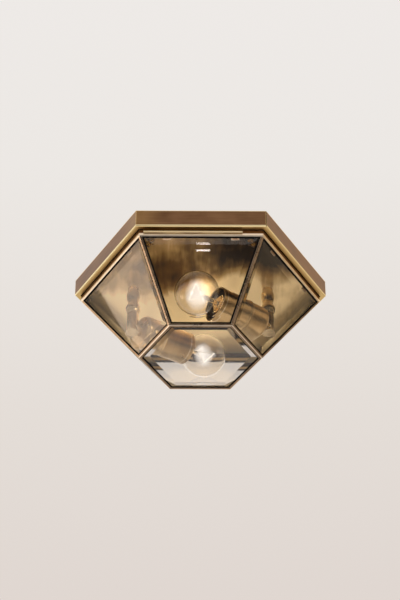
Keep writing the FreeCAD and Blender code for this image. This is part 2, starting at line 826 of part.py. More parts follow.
def filament():
    """Coiled filament, as a bowed rod of the coil's outer diameter between the leads."""
    left = lead_tip(-1)
    right = lead_tip(1)
    path = Part.Wire([arc(left, Vector(filament_level - filament_rise, 0, 0), right)])
    way = path.Edges[0].tangentAt(path.Edges[0].FirstParameter)
    section = Part.Wire([Part.makeCircle(filament_radius, left, way)])
    return along_lamp(path.makePipeShell([section], True, True))


def wiring():
    """Twin wire from the terminal block over the plate, down the pillar and into the socket."""
    level = tray_top + block_wire_height
    start = Vector(block_length_x / 2 - wire_entry, 0, level)
    upper = Vector(pillar_offset, 0, level)
    lower = Vector(pillar_offset, 0, -lamp_end_depth)
    inward = (Vector(globe_offset_x, -globe_offset_y, -lamp_depth) - lower).normalize()
    end = lower + inward * (lamp_reach - wire_end)
    down = Vector(0, 0, -1)
    first = bend(upper, Vector(1, 0, 0), down, wire_upper_bend)
    second = bend(lower, down, inward, wire_lower_bend)
    edges = [line(start, first[0]), arc(*first), line(first[-1], second[0]), arc(*second)]
    edges.append(line(second[-1], end))
    section = Part.Wire([Part.makeCircle(wire_radius, start, Vector(1, 0, 0))])
    return Part.Wire(edges).makePipeShell([section], True, True)


def bend(corner, before, after, radius):
    """Return the start, middle and end of the arc that rounds a corner of a path."""
    half_angle = before.getAngle(after) / 2
    start = corner - before * (radius * math.tan(half_angle))
    end = corner + after * (radius * math.tan(half_angle))
    centre = corner + (after - before).normalize() * (radius / math.cos(half_angle))
    middle = centre + (corner - centre).normalize() * radius
    return start, middle, end


# Lantern

def on_side(index, shape):
    """Place a shape from the local frame of a pitched side: X along, Y up the slope, Z outwards."""
    angle = math.radians(front_angle + side_angle * index)
    outward = Vector(math.cos(angle), math.sin(angle), 0)
    along = Vector(-math.sin(angle), math.cos(angle), 0)
    slope = outward * side_run_share + Vector(0, 0, side_rise_share)
    normal = along.cross(slope)
    corner = outward * bottom_apothem + Vector(0, 0, -bottom_depth)
    matrix = FreeCAD.Matrix(
        along.x, slope.x, normal.x, corner.x,
        along.y, slope.y, normal.y, corner.y,
        along.z, slope.z, normal.z, corner.z,
        0, 0, 0, 1)
    placed = shape.copy()
    placed.transformShape(matrix)
    return placed


def half_width(up, inset):
    """Return half the width of a side at a height up its slope, at a depth behind its face."""
    apothem = bottom_apothem + up * side_run_share - inset * side_rise_share
    return apothem * corner_tangent


def strip(low, high):
    """Return a full-width strip of a side's sheet, mitred at both corners."""
    rings = []
    for inset in (0, came_sheet):
        left_low = -half_width(low, inset)
        left_high = -half_width(high, inset)
        rings.append([
            Vector(left_low, low, -inset), Vector(-left_low, low, -inset),
            Vector(-left_high, high, -inset), Vector(left_high, high, -inset)])
    return solid_through(*rings)


def wing(low, high, hand):
    """Return half a corner rib: the strip of a side's sheet along its left or right edge."""
    taper = side_run_share * corner_tangent
    step = came_wing_width * math.hypot(1, taper)
    rings = []
    for inset in (0, came_sheet):
        rings.append([
            Vector(hand * (half_width(low, 0) - step), low, -inset),
            Vector(hand * half_width(low, inset), low, -inset),
            Vector(hand * half_width(high, inset), high, -inset),
            Vector(hand * (half_width(high, 0) - step), high, -inset)])
    return solid_through(*rings)


def corner_rib(index):
    """Return the folded rib between a side and the next one."""
    high = side_length - rim_flange_width
    this_half = on_side(index, wing(bottom_strip_width, high, 1))
    next_half = on_side(index + 1, wing(bottom_strip_width, high, -1))
    return fused([this_half, next_half])


def top_rim():
    """Upright band with a narrow flange turned in along the top of each side."""
    band = hex_ring(rim_apothem, rim_inner_apothem, -rim_edge_depth, -rim_top_depth)
    low = side_length - rim_flange_width
    return fused([band] + [on_side(index, strip(low, side_length)) for index in range(sides)])


def bottom_frame():
    """Frame whose strips lie along the sides and whose flange lies under the bottom pane."""
    top_level = came_sheet - bottom_depth
    spread = came_sheet * side_run / side_rise
    ring = hex_solid(bottom_apothem, -bottom_depth, bottom_apothem + spread, top_level)
    inner = bottom_apothem - bottom_flange_width
    ring = ring.cut(hex_solid(inner, -bottom_depth - overrun, inner, top_level + overrun))
    return fused([ring] + [on_side(index, strip(0, bottom_strip_width)) for index in range(sides)])


def inset_outline(points, distance):
    """Return the corners of a convex outline, counter-clockwise, moved in by a distance."""
    corners = []
    for index, corner in enumerate(points):
        before = (corner - points[index - 1]).normalize()
        after = (points[(index + 1) % len(points)] - corner).normalize()
        turn = before.cross(after).z
        corners.append(corner + (after - before) * (distance / turn))
    return corners


def at_level(points, level):
    """Return the outline's corners moved to a level."""
    return [Vector(point.x, point.y, level) for point in points]


def bevelled_plate(outline, face_level, inward):
    """Return glass with a flat outer face and a wide bevel round its inner one."""
    edge_level = face_level + inward * glass_edge_thickness
    back_level = face_level + inward * glass_thickness
    back = inset_outline(outline, glass_bevel_width)
    return solid_through(at_level(outline, face_level), at_level(outline, edge_level), at_level(back, back_level))


def side_glass_outline():
    """Return the corners of a side pane in the side's own plane."""
    limit = rim_inner_apothem - glass_top_gap - bottom_apothem + glass_face * side_rise_share
    top = limit / side_run_share
    low = half_width(glass_lower_edge, glass_edge_back) - glass_side_gap
    high = half_width(top, glass_edge_back) - glass_side_gap
    return [
        Vector(-low, glass_lower_edge, 0), Vector(low, glass_lower_edge, 0),
        Vector(high, top, 0), Vector(-high, top, 0)]


def side_pane(index):
    """Trapezoid pane behind two ribs, the rim flange and the bottom strip."""
    return on_side(index, bevelled_plate(side_glass_outline(), -glass_face, -1))


def bottom_glass_apothem():
    """Return half the width of the bottom pane across its flats."""
    return bottom_apothem - bottom_glass_gap


def bottom_pane():
    """Hexagonal pane that rests on the bottom frame's flange."""
    level = glass_face - bottom_depth
    return bevelled_plate(at_level(hexagon(bottom_glass_apothem(), 0), 0), level, 1)


def side_window(margin):
    """Return the outline of a side's clear opening between its strips, moved in by a margin."""
    step = came_wing_width * math.hypot(1, side_run_share * corner_tangent)
    high = side_length - rim_flange_width
    low_width = half_width(bottom_strip_width, 0) - step
    high_width = half_width(high, 0) - step
    corners = [
        Vector(-low_width, bottom_strip_width, 0), Vector(low_width, bottom_strip_width, 0),
        Vector(high_width, high, 0), Vector(-high_width, high, 0)]
    return inset_outline(corners, margin)


def framed_seal(outline, opening, low, high):
    """Return a flat seal between an outline and an opening in it."""
    plate = solid_through(at_level(outline, low), at_level(outline, high))
    hole = solid_through(at_level(opening, low - overrun), at_level(opening, high + overrun))
    return plate.cut(hole)


def glazing_seals():
    """Black seals between the panes and the metal in front of them."""
    flat = framed_seal(side_glass_outline(), side_window(seal_show), -glass_face, -came_sheet)
    seals = [on_side(index, flat) for index in range(sides)]
    opening = hexagon(bottom_apothem - bottom_flange_width - seal_show, 0)
    outline = hexagon(bottom_glass_apothem(), 0)
    seals.append(framed_seal(outline, opening, came_sheet - bottom_depth, glass_face - bottom_depth))
    return seals


def upright_section(index, points, start, end):
    """Return a prism along a side, whose section is given as (apothem, level) corners."""
    angle = math.radians(front_angle + side_angle * index)
    outward = Vector(math.cos(angle), math.sin(angle), 0)
    along = Vector(-math.sin(angle), math.cos(angle), 0)
    section = [outward * apothem + Vector(0, 0, level) + along * start for apothem, level in points]
    return face_of(section).extrude(along * (end - start))


def clip_sections():
    """Return the arm and the tongue of a clip as two overlapping (apothem, level) outlines."""
    top = side_glass_outline()[-1].y
    edge = section_point(top, glass_edge_back)
    low = section_point(top - glass_bevel_width, glass_back)
    down = (low - edge).normalize()
    away = Vector(down.y, -down.x, 0)
    root = edge + away * clip_gap
    lift = away * clip_thickness
    tip = root + down * clip_reach
    tongue = [root, tip, tip + lift, root + lift]
    arm_top = root.y + clip_thickness
    arm_end = (root + lift).x
    arm = [(rim_inner_apothem, root.y), (rim_inner_apothem, arm_top), (arm_end, arm_top), (arm_end, root.y)]
    return arm, [(point.x, point.y) for point in tongue]


def section_point(up, inset):
    """Return apothem and level of a point up a side's slope and behind its face."""
    apothem = bottom_apothem + up * side_run_share - inset * side_rise_share
    level = up * side_rise_share + inset * side_run_share - bottom_depth
    return Vector(apothem, level, 0)


def pane_clips():
    """Two bent clips on the rim behind the top of each side pane."""
    arm, tongue = clip_sections()
    middle = half_width(side_length, 0) * clip_place_share
    clips = []
    for index in range(sides):
        for place in (-middle, middle):
            start = place - clip_width / 2
            pieces = [upright_section(index, part, start, start + clip_width) for part in (arm, tongue)]
            clips.append(fused(pieces))
    return clips


# Hinge and closing screw

def hinge_box(apothems, levels, start, end):
    """Return a bar along the front side between two apothems and two levels."""
    low, high = apothems
    points = [(low, levels[0]), (high, levels[0]), (high, levels[1]), (low, levels[1])]
    return upright_section(0, points, start, end)


def knuckle_span(index):
    """Return the start and end of one knuckle along the hinge."""
    pitch = hinge_length / hinge_knuckles
    start = hinge_start + index * pitch
    return start + hinge_knuckle_gap / 2, start + pitch - hinge_knuckle_gap / 2


def hinge_point(place):
    """Return a point of the hinge's axis."""
    return Vector(place, -hinge_axis_apothem, hinge_axis_level)


def hinge_leaf(first, leaf, web):
    """Return a leaf with every second knuckle, counted from the first one given."""
    pieces = leaf
    for index in range(first, hinge_knuckles, 2):
        start, end = knuckle_span(index)
        pieces = pieces + [cylinder(hinge_barrel_radius, hinge_point(start), hinge_point(end))]
        pieces = pieces + [hinge_box(web[0], web[1], start, end)]
    bore_start = hinge_point(hinge_start - overrun)
    bore_end = hinge_point(hinge_start + hinge_length + overrun)
    return fused(pieces).cut(cylinder(hinge_pin_radius + hinge_pin_clearance, bore_start, bore_end))


def hinge_leaf_fixed():
    """Angle leaf that lies on the lip and hangs down through the gap beside it."""
    end = hinge_start + hinge_length
    inner = lip_apothem - hinge_leaf_sheet
    flange_top = lip_top + hinge_leaf_sheet
    drop = hinge_axis_level + hinge_barrel_radius + hinge_drop
    flange = hinge_box((inner, wall_inner_apothem - hinge_flange_gap), (lip_top, flange_top), hinge_start, end)
    hanging = hinge_box((inner, lip_apothem), (drop, flange_top), hinge_start, end)
    web = ((inner, hinge_axis_apothem), (drop - hinge_web_depth, drop))
    return hinge_leaf(0, [flange, hanging], web)


def hinge_leaf_moving():
    """Narrow leaf soldered to the outside of the rim."""
    top = hinge_axis_level + moving_leaf_top
    end = hinge_start + hinge_length
    leaf = hinge_box((rim_apothem, hinge_leaf_face), (top - moving_leaf_height, top), hinge_start, end)
    web = ((rim_apothem, hinge_axis_apothem), (top - moving_web_height, top))
    return hinge_leaf(1, [leaf], web)


def hinge_pin():
    """Pin through all the knuckles."""
    return cylinder(hinge_pin_radius, hinge_point(hinge_start), hinge_point(hinge_start + hinge_length))


def rear_rod(radius, near, far):
    """Return a cylinder on the closing screw's axis between two distances from the centre."""
    return cylinder(radius, Vector(0, near, -closing_depth), Vector(0, far, -closing_depth))


def closing_bore():
    """Return the cutter of the closing screw's bore through the rear wall."""
    bore_radius = closing_screw_radius + closing_screw_clearance
    return rear_rod(bore_radius, wall_inner_apothem - closing_boss_length - overrun, canopy_apothem + overrun)


def closing_boss():
    """Threaded boss soldered inside the rear wall."""
    return rear_rod(closing_boss_radius, wall_inner_apothem - closing_boss_length, wall_inner_apothem).cut(closing_bore())


def closing_screw():
    """Thumbscrew with a fluted head, whose tip stops just short of the rim."""
    head_start = canopy_apothem + closing_head_gap
    shank = rear_rod(closing_screw_radius, rim_apothem + closing_tip_gap, head_start)
    grip_start = head_start + closing_head_gap
    collar = rear_rod(closing_collar_radius, head_start, grip_start)
    grip_end = grip_start + closing_head_length
    grip = rear_rod(closing_head_radius, grip_start, grip_end)
    grip = grip.makeChamfer(closing_head_edge, [e for e in grip.Edges if e.Closed])
    for index in range(closing_flutes):
        angle = math.radians(full_turn / closing_flutes * index)
        shift = Vector(closing_head_radius * math.cos(angle), 0, closing_head_radius * math.sin(angle))
        flute = rear_rod(closing_flute_radius, grip_start - overrun / 2, grip_end + overrun)
        flute.translate(shift)
        grip = grip.cut(flute)
    return fused([shank, collar, grip])


def catch_plate():
    """Thickening plate inside the rim where the closing screw presses."""
    top = -rim_top_depth - catch_drop
    inner = rim_inner_apothem - catch_thickness
    points = [(inner, top - catch_height), (rim_inner_apothem, top - catch_height),
              (rim_inner_apothem, top), (inner, top)]
    return upright_section(sides // 2, points, -catch_width / 2, catch_width / 2)


def save_pair(name, shape):
    """Write a right-hand piece and its half-turned twin on the left."""
    save(name + "_right", shape)
    save(name + "_left", about_z(shape, half_turn))


def both(shape):
    """Return a right-hand piece together with its half-turned twin."""
    return [shape, about_z(shape, half_turn)]


def build_canopy():
    """Write the canopy, its mounting parts and its wiring parts."""
    save("mounting_plate", mounting_plate())
    save("mounting_bushes", *mounting_bushes())
    save("canopy_wall", canopy_wall())
    save("reflector_plate", reflector_plate())
    save("plate_screws", *[plate_screw(place) for place in four_places(bush_offset_x, bush_offset_y)])
    save("terminal_block", terminal_block())
    save("terminal_screws", *terminal_screws())
    save("earth_terminal", *earth_terminal())
    save("closing_boss", closing_boss())
    save("closing_screw", closing_screw())
    save_pair("wiring", wiring())


def build_lampholders():
    """Write the pillars, cups and sockets."""
    save_pair("pillar", right_pillar())
    save("pillar_lock_nuts", *both(pillar_nut()))
    save("holder_nipples", *both(holder_nipple()))
    save("holder_spacers", *both(holder_spacer()))
    save("cup_lock_nuts", *both(cup_nut()))
    save_pair("holder_cup", holder_cup())
    save_pair("socket_body", socket_body())
    save_pair("socket_shell", socket_shell())
    save("socket_contacts", *both(socket_contact()))


def build_bulbs():
    """Write the two bulbs, each piece by itself."""
    save_pair("bulb_glass", bulb_glass())
    save_pair("bulb_cap", bulb_cap())
    save_pair("bulb_base", bulb_base())
    save_pair("bulb_tip", bulb_tip())
    save_pair("bulb_stem", bulb_stem())
    save_pair("filament", filament())
    leads = bulb_leads()
    save("lead_wires_right", *leads)
    save("lead_wires_left", *[about_z(lead, half_turn) for lead in leads])


def build_lantern():
    """Write the hinged lantern and its hinge."""
    names = ["front", "front_right", "rear_right", "rear", "rear_left", "front_left"]
    rib_names = ["front_right", "right", "rear_right", "rear_left", "left", "front_left"]
    save("top_rim", top_rim())
    save("bottom_frame", bottom_frame())
    for index in range(sides):
        save("rib_" + rib_names[index], corner_rib(index))
        save("pane_" + names[index], side_pane(index))
    save("pane_bottom", bottom_pane())
    save("glazing_seals", *glazing_seals())
    save("pane_clips", *pane_clips())
    save("catch_plate", catch_plate())
    save("hinge_leaf_fixed", hinge_leaf_fixed())
    save("hinge_leaf_moving", hinge_leaf_moving())
    save("hinge_pin", hinge_pin())


build_canopy()
build_lampholders()
build_bulbs()
build_lantern()
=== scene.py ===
"""Looks of a hexagonal flush ceiling light in antique brass with a hinged lantern of bevelled glass.

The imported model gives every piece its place. This file gives the metal, glass and lamp bulbs their
surfaces, makes the turned and coiled pieces as smooth meshes, and sets the camera, floor and light.
Lengths are in metres, +Z up. The origin is the middle of the canopy on the ceiling plane.
"""
import json
import math
import bmesh
import bpy
import numpy as np
from mathutils import Matrix, Vector


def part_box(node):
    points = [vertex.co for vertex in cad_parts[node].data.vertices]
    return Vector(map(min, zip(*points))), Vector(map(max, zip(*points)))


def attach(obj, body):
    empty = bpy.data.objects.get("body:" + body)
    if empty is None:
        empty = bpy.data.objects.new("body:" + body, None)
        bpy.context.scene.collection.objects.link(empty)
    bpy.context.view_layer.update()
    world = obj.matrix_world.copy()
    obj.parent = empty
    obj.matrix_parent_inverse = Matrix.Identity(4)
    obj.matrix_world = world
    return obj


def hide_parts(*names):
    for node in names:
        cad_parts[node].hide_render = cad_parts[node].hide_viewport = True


bl_info = {
    "name": "Bevelled glass ceiling light",
    "version": (1, 0, 0),
    "blender": (4, 5, 0),
    "location": "3D View > Sidebar > Ceiling light",
    "description": "Finishes and small pieces of a hexagonal brass ceiling light",
    "category": "Object",
}

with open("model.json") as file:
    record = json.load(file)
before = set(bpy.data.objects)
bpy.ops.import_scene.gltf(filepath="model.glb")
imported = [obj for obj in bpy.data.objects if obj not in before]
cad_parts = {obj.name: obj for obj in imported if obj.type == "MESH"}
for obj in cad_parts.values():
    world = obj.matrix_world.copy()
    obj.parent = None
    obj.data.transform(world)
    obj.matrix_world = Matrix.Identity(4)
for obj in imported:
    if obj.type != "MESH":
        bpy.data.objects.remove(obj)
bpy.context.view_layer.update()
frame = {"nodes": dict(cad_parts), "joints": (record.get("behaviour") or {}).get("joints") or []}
nodes = frame["nodes"]

MM = 0.001
SIDES = ("left", "right")
JOINTS = {joint["name"]: joint for joint in frame["joints"]}
LAMP_JOINTS = {side: JOINTS["bulb_%s_screw" % side] for side in SIDES}

# How far brush lines are drawn out along X, Y and Z
ALONG_THE_WALL = (30, 30, 1)
ALONG_THE_RIBS = (12, 12, 1)
ROUND_THE_LAMP = (1, 30, 30)

# Corners of each filament in its lamp's frame, millimetres: foot, hooks of the supports, foot
FILAMENTS = {
    "right": ((8.4, -1.6, -8.6), (-2.6, -2.6, 8.6), (-3.4, -1.6, 8.8), (-5.4, 5.0, -8.6)),
    "left": ((8.0, -3.0, 2.2), (1.0, -1.2, 9.8), (0.2, -0.4, -9.0), (-6.4, 9.6, -0.9)),
}

# The glare round each filament: height of its middle in the lamp's frame, and its reach, millimetres
GLARE = {"right": (-2.0, 16.5), "left": (0.5, 12.0)}
GLARE_SHELLS = 28

# The photograph's viewpoint, fitted to the corners of canopy, rim and bottom frame
CAMERA_PLACE = (-0.011776, -1.633156, -1.306034)
CAMERA_RIGHT = (0.999978, -0.00665693, -0.00037032)
CAMERA_UP = (-0.00381809, -0.61730327, 0.78671602)
CAMERA_LENS_MM = 122.256

# Soft lamps: place, width and height in metres, watts, colour, turn about their own axis in degrees
SOFTBOXES = {
    "softbox_left": ((-1.7, 0.21, -0.437), 0.5, 0.5, 1.75, "#ffe6cc", -24.3),
    "softbox_front_right": ((0.95, -1.55, -1.25), 0.7, 0.7, 3.0, "#fff6ee", 0.0),
    "softbox_front_left": ((-0.95, -1.55, -1.25), 0.7, 0.7, 3.0, "#fff6ee", 0.0),
    "tube_lamp_upper": ((0.015, -1.7, -1.029), 0.026, 0.004, 0.004, "#fff6ee", 0.0),
    "tube_lamp_lower": ((0.015, -1.7, -1.044), 0.026, 0.004, 0.004, "#fff6ee", 0.0),
}


# Surfaces

def linear(code):
    """An sRGB hex colour as linear RGBA: (c + 0.055) / 1.055 to the power 2.4 above the toe."""
    parts = [int(code[i:i + 2], 16) / 255 for i in (1, 3, 5)]
    return [c / 12.92 if c <= 0.04045 else ((c + 0.055) / 1.055) ** 2.4 for c in parts] + [1.0]


def lamp_frame(side):
    """The lamp's axis, from its joint: origin at the globe's centre, X from globe to pillar, Y level."""
    joint = LAMP_JOINTS[side]
    along = Vector(joint["axis"]).normalized()
    level = Vector((0, 0, 1)).cross(along).normalized()
    turn = Matrix((along, level, along.cross(level))).transposed().to_4x4()
    return Matrix.Translation(joint["pos_m"]) @ turn


def pillar_frame(side):
    """The pillar's axis: X points down from the ceiling plane, through the middle of its node."""
    low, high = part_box("pillar_" + side)
    middle = (low + high) / 2
    return Matrix.Translation((middle.x, middle.y, 0)) @ Matrix.Rotation(math.pi / 2, 4, "Y")


def grid_faces(rows, columns, wrap):
    """Quads between neighbouring rows and columns of a grid; wrap joins the last row to the first."""
    last = rows if wrap else rows - 1
    row, column = np.meshgrid(np.arange(last), np.arange(columns), indexing="ij")
    below, beside = (row + 1) % rows * columns, (column + 1) % columns
    row = row * columns
    return np.stack([row + column, row + beside, below + beside, below + column], -1).reshape(-1, 4)


def volume_sign(points, faces):
    """The sign of a closed mesh's volume: the sum over its faces of corner . (corner x corner)."""
    a, b, c, d = (points[faces[:, i]] for i in range(4))
    return np.sign(np.sum(a * np.cross(b, c)) + np.sum(a * np.cross(c, d)))


def mesh_piece(name, points, faces, smooth_angle):
    """One object at the origin from an array of points and an array of quads, faces outwards."""
    if volume_sign(points, faces) < 0:
        faces = faces[:, ::-1]
    mesh = bpy.data.meshes.new(name)
    mesh.from_pydata(points, [], faces)
    merge_close(mesh)
    mesh.polygons.foreach_set("use_smooth", np.ones(len(mesh.polygons), bool))
    mesh.set_sharp_from_angle(angle=math.radians(smooth_angle))
    mesh.update()
    piece = bpy.data.objects.new(name, mesh)
    bpy.context.scene.collection.objects.link(piece)
    return piece


def merge_close(mesh, distance=1e-7):
    """Joins a pole's coinciding points and drops the faces that this leaves without area."""
    made = bmesh.new()
    made.from_mesh(mesh)
    bmesh.ops.remove_doubles(made, verts=made.verts, dist=distance)
    bmesh.ops.dissolve_degenerate(made, edges=made.edges, dist=distance)
    made.to_mesh(mesh)
    made.free()


def turned(name, profile, placing, segments=96, closed=False, smooth_angle=35):
    """A profile turned about X: point(s, a) = (d(s), r(s) cos a, r(s) sin a), profile in millimetres."""
    profile = np.asarray(profile, float) * MM
    angle = np.linspace(0, 2 * np.pi, segments, endpoint=False)
    points = np.stack([
        np.repeat(profile[:, :1], segments, 1),
        profile[:, 1:] * np.cos(angle), profile[:, 1:] * np.sin(angle)], -1).reshape(-1, 3)
    points = moved(points, placing)
    return mesh_piece(name, points, grid_faces(len(profile), segments, closed), smooth_angle)


def moved(points, placing):
    """Rows of points carried by a 4x4 placing."""
    placing = np.array(placing)
    return points @ placing[:3, :3].T + placing[:3, 3]


def tube(name, path, radius, placing, sides=10):
    """A round wire along a path: point(s, a) = path(s) + radius (cos a n(s) + sin a b(s)), ends closed.

    n is square to the path's direction and to a fixed reference, b to both. Millimetres.
    """
    path = np.asarray(path, float)
    way = np.gradient(path, axis=0)
    way /= np.linalg.norm(way, axis=1, keepdims=True)
    reference = np.eye(3)[np.argmin(np.abs(way).max(0))]
    side = np.cross(way, reference)
    side /= np.linalg.norm(side, axis=1, keepdims=True)
    other = np.cross(way, side)
    angle = np.linspace(0, 2 * np.pi, sides, endpoint=False)[:, None]
    rings = path[:, None] + radius * (np.cos(angle) * side[:, None] + np.sin(angle) * other[:, None])
    ends = [np.repeat(path[i][None, None], sides, 1) for i in (0, -1)]
    points = np.concatenate([ends[0], rings, ends[1]]).reshape(-1, 3) * MM
    return mesh_piece(name, moved(points, placing), grid_faces(len(path) + 2, sides, False),
                      smooth_angle=60)


def arc_points(centre, radius, start, end, steps):
    """Profile points on a circle: centre + radius (cos t, sin t), degrees, in steps equal turns."""
    t = np.radians(np.linspace(start, end, steps))
    return np.stack([centre[0] + radius * np.cos(t), centre[1] + radius * np.sin(t)], -1)


def arc_through(start, middle, end, steps=18):
    """Points on the circle through three points: centre + (start - centre) turned by even steps."""
    a, m, b = (complex(*p) for p in (start, middle, end))
    w = (b - a) / (m - a)
    centre = a + (m - a) * (w - abs(w) ** 2) / (2j * w.imag)
    sweep = np.angle((m - centre) / (a - centre)) + np.angle((b - centre) / (m - centre))
    z = centre + (a - centre) * np.exp(1j * sweep * np.linspace(0, 1, steps))
    return np.stack([z.real, z.imag], -1)


# Materials

def add(tree, kind, inputs=None, **details):
    """Adds a shader node and returns its outputs.

    inputs gives values or source sockets by an input's name or number. A detail is a property of the
    node, or an input whose name has _ for a space. stops are a colour ramp's (position, hex).
    """
    made = tree.nodes.new("ShaderNode" + kind)
    given = dict(inputs or {})
    for name, value in details.items():
        if name == "stops":
            elements = made.color_ramp.elements
            while len(elements) < len(value):
                elements.new(0.5)
            for element, (position, code) in zip(elements, value):
                element.position = position
                element.color = linear(code)
        elif hasattr(made, name):
            setattr(made, name, value)
        else:
            given[name.replace("_", " ")] = value
    for name, value in given.items():
        if isinstance(value, bpy.types.NodeSocket):
            tree.links.new(made.inputs[name], value)
        else:
            made.inputs[name].default_value = value
    return made.outputs


def new_material(name):
    """An empty node material and its tree."""
    material = bpy.data.materials.new(name)
    material.use_nodes = True
    material.node_tree.nodes.clear()
    return material, material.node_tree


def grain(tree, where, size_mm, detail=3.0, stretch=(1, 1, 1), roughness=0.5, yaw=0.0):
    """A random pattern with patches about size_mm across, drawn out along each axis by its factor."""
    scale = [size_mm * MM * factor for factor in stretch]
    drawn = add(tree, "Mapping", Vector=where, Scale=scale, Rotation=(0, 0, yaw),
                vector_type="TEXTURE")[0]
    return add(tree, "TexNoise", Vector=drawn, Scale=1.0, Detail=detail, Roughness=roughness)[0]


def edge_wear(tree, radius_mm):
    """1 where a sharp edge lies within the radius: 1 - (rounded normal . true normal), stretched."""
    untouched, rubbed_through = 0.995, 0.93
    rounded = add(tree, "Bevel", samples=4, Radius=radius_mm * MM)[0]
    true = add(tree, "NewGeometry")["Normal"]
    alike = add(tree, "VectorMath", {0: rounded, 1: true}, operation="DOT_PRODUCT")["Value"]
    return add(tree, "MapRange", Value=alike, From_Min=untouched, From_Max=rubbed_through)[0]


def inward(tree, where):
    """1 on faces that look towards the light's middle, where normal . position is below 0, else 0."""
    normal = add(tree, "TexCoord")["Normal"]
    outwards = add(tree, "VectorMath", {0: normal, 1: where}, operation="DOT_PRODUCT")["Value"]
    return add(tree, "MapRange", Value=outwards, From_Min=-2 * MM, From_Max=-6 * MM)[0]


def hexagon_reach(tree, where):
    """From the middle to the side of the hexagon through a point: max(|y|, |x| cos 30 + |y| sin 30)."""
    size = add(tree, "VectorMath", {0: where}, operation="ABSOLUTE")[0]
    slanted_side = (math.cos(math.radians(30)), math.sin(math.radians(30)), 0)
    slanted = add(tree, "VectorMath", {0: size, 1: slanted_side}, operation="DOT_PRODUCT")["Value"]
    level = add(tree, "VectorMath", {0: size, 1: (0, 1, 0)}, operation="DOT_PRODUCT")["Value"]
    return add(tree, "Math", {0: slanted, 1: level}, operation="MAXIMUM")[0]


def antique_brass(name, dark, mid, relieved, roughness, brushed, wear_mm, cloud_mm=28.0, line_mm=0.9,
                  yaw=0.0, bands=(), outer=None, corners=(), inside=None):
    """Brass sheet, chemically bronzed, then brushed and relieved by hand and lacquered.

    The eye sees a brown satin metal with soft clouds of darker patina, fine brush lines along the
    work, and gold where the edges were rubbed through to the metal. Lengths below are in millimetres.

    brushed draws the brush lines out along each axis. bands are (z from, z to, share, colour), heights
    between which that colour sets in on every side. outer is (height, from, to, colour): below that
    height the colour sets in between those distances to a hexagon's side. corners are (x, y, reach,
    share, colour), upright lines round which that colour sets in. The callers use bands, outer and
    corners mostly for painted highlights and painted shade. inside is a row of (z, colour) for the faces
    that look inwards: painted shade, and on the rim bands of painted light.
    """
    material, tree = new_material(name)
    where = add(tree, "TexCoord")["Object"]
    height = add(tree, "SeparateXYZ", {0: where})["Z"]
    gold = linear(relieved)
    clouds = grain(tree, where, cloud_mm)
    patina = add(tree, "ValToRGB", Fac=clouds, stops=((0.35, dark), (0.65, mid)))[0]
    lines = grain(tree, where, line_mm, 2.0, brushed, yaw=yaw)
    scratched = add(tree, "MapRange", Value=lines, From_Min=0.35, From_Max=0.75, To_Max=0.07)[0]
    patchy = grain(tree, where, 7.0)
    rubbed = add(tree, "MapRange", Value=patchy, From_Min=0.25, From_Max=0.55, To_Min=0.6)[0]
    worn = add(tree, "Math", {0: edge_wear(tree, wear_mm), 1: rubbed}, operation="MULTIPLY")[0]
    layers = [(scratched, gold), (worn, gold)]
    for start, end, share, code in bands:
        band = add(tree, "MapRange", Value=height, From_Min=start * MM, From_Max=end * MM,
                   To_Max=share)[0]
        layers.append((band, linear(code)))
    if outer:
        top, start, end, code = outer
        soft_edge = 0.15
        reach = hexagon_reach(tree, where)
        ring = add(tree, "MapRange", Value=reach, From_Min=start * MM, From_Max=end * MM)[0]
        low = add(tree, "MapRange", Value=height, From_Min=top * MM, From_Max=(top - soft_edge) * MM)[0]
        layers.append((add(tree, "Math", {0: ring, 1: low}, operation="MULTIPLY")[0], linear(code)))
    for x, y, reach, share, code in corners:
        solid_core = 0.3 * reach
        flat = add(tree, "VectorMath", {0: where, 1: (1, 1, 0)}, operation="MULTIPLY")[0]
        away = add(tree, "VectorMath", {0: flat, 1: (x * MM, y * MM, 0)}, operation="DISTANCE")["Value"]
        near = add(tree, "MapRange", Value=away, From_Min=reach * MM, From_Max=solid_core * MM,
                   To_Max=share)[0]
        layers.append((near, linear(code)))
    # Painted shade on the faces that look inwards, and on the rim bands of painted light
    if inside:
        low, high = inside[0][0], inside[-1][0]
        part = add(tree, "MapRange", Value=height, From_Min=low * MM, From_Max=high * MM)[0]
        stops = [((z - low) / (high - low), code) for z, code in inside]
        painted_inside = add(tree, "ValToRGB", Fac=part, stops=stops)[0]
        layers.append((inward(tree, where), painted_inside))
    colour = patina
    for share, paint in layers:
        colour = add(tree, "Mix", {0: share, 6: colour, 7: paint}, data_type="RGBA")[2]
    sheen = add(tree, "MapRange", Value=clouds, From_Min=0.3, From_Max=0.7,
                To_Min=roughness - 0.04, To_Max=roughness + 0.05)[0]
    bump = add(tree, "Bump", Height=lines, Strength=0.06, Distance=0.03 * MM)[0]
    brass = add(tree, "BsdfPrincipled", Base_Color=colour, Roughness=sheen, Normal=bump, Metallic=1.0)[0]
    add(tree, "OutputMaterial", Surface=brass)
    return material


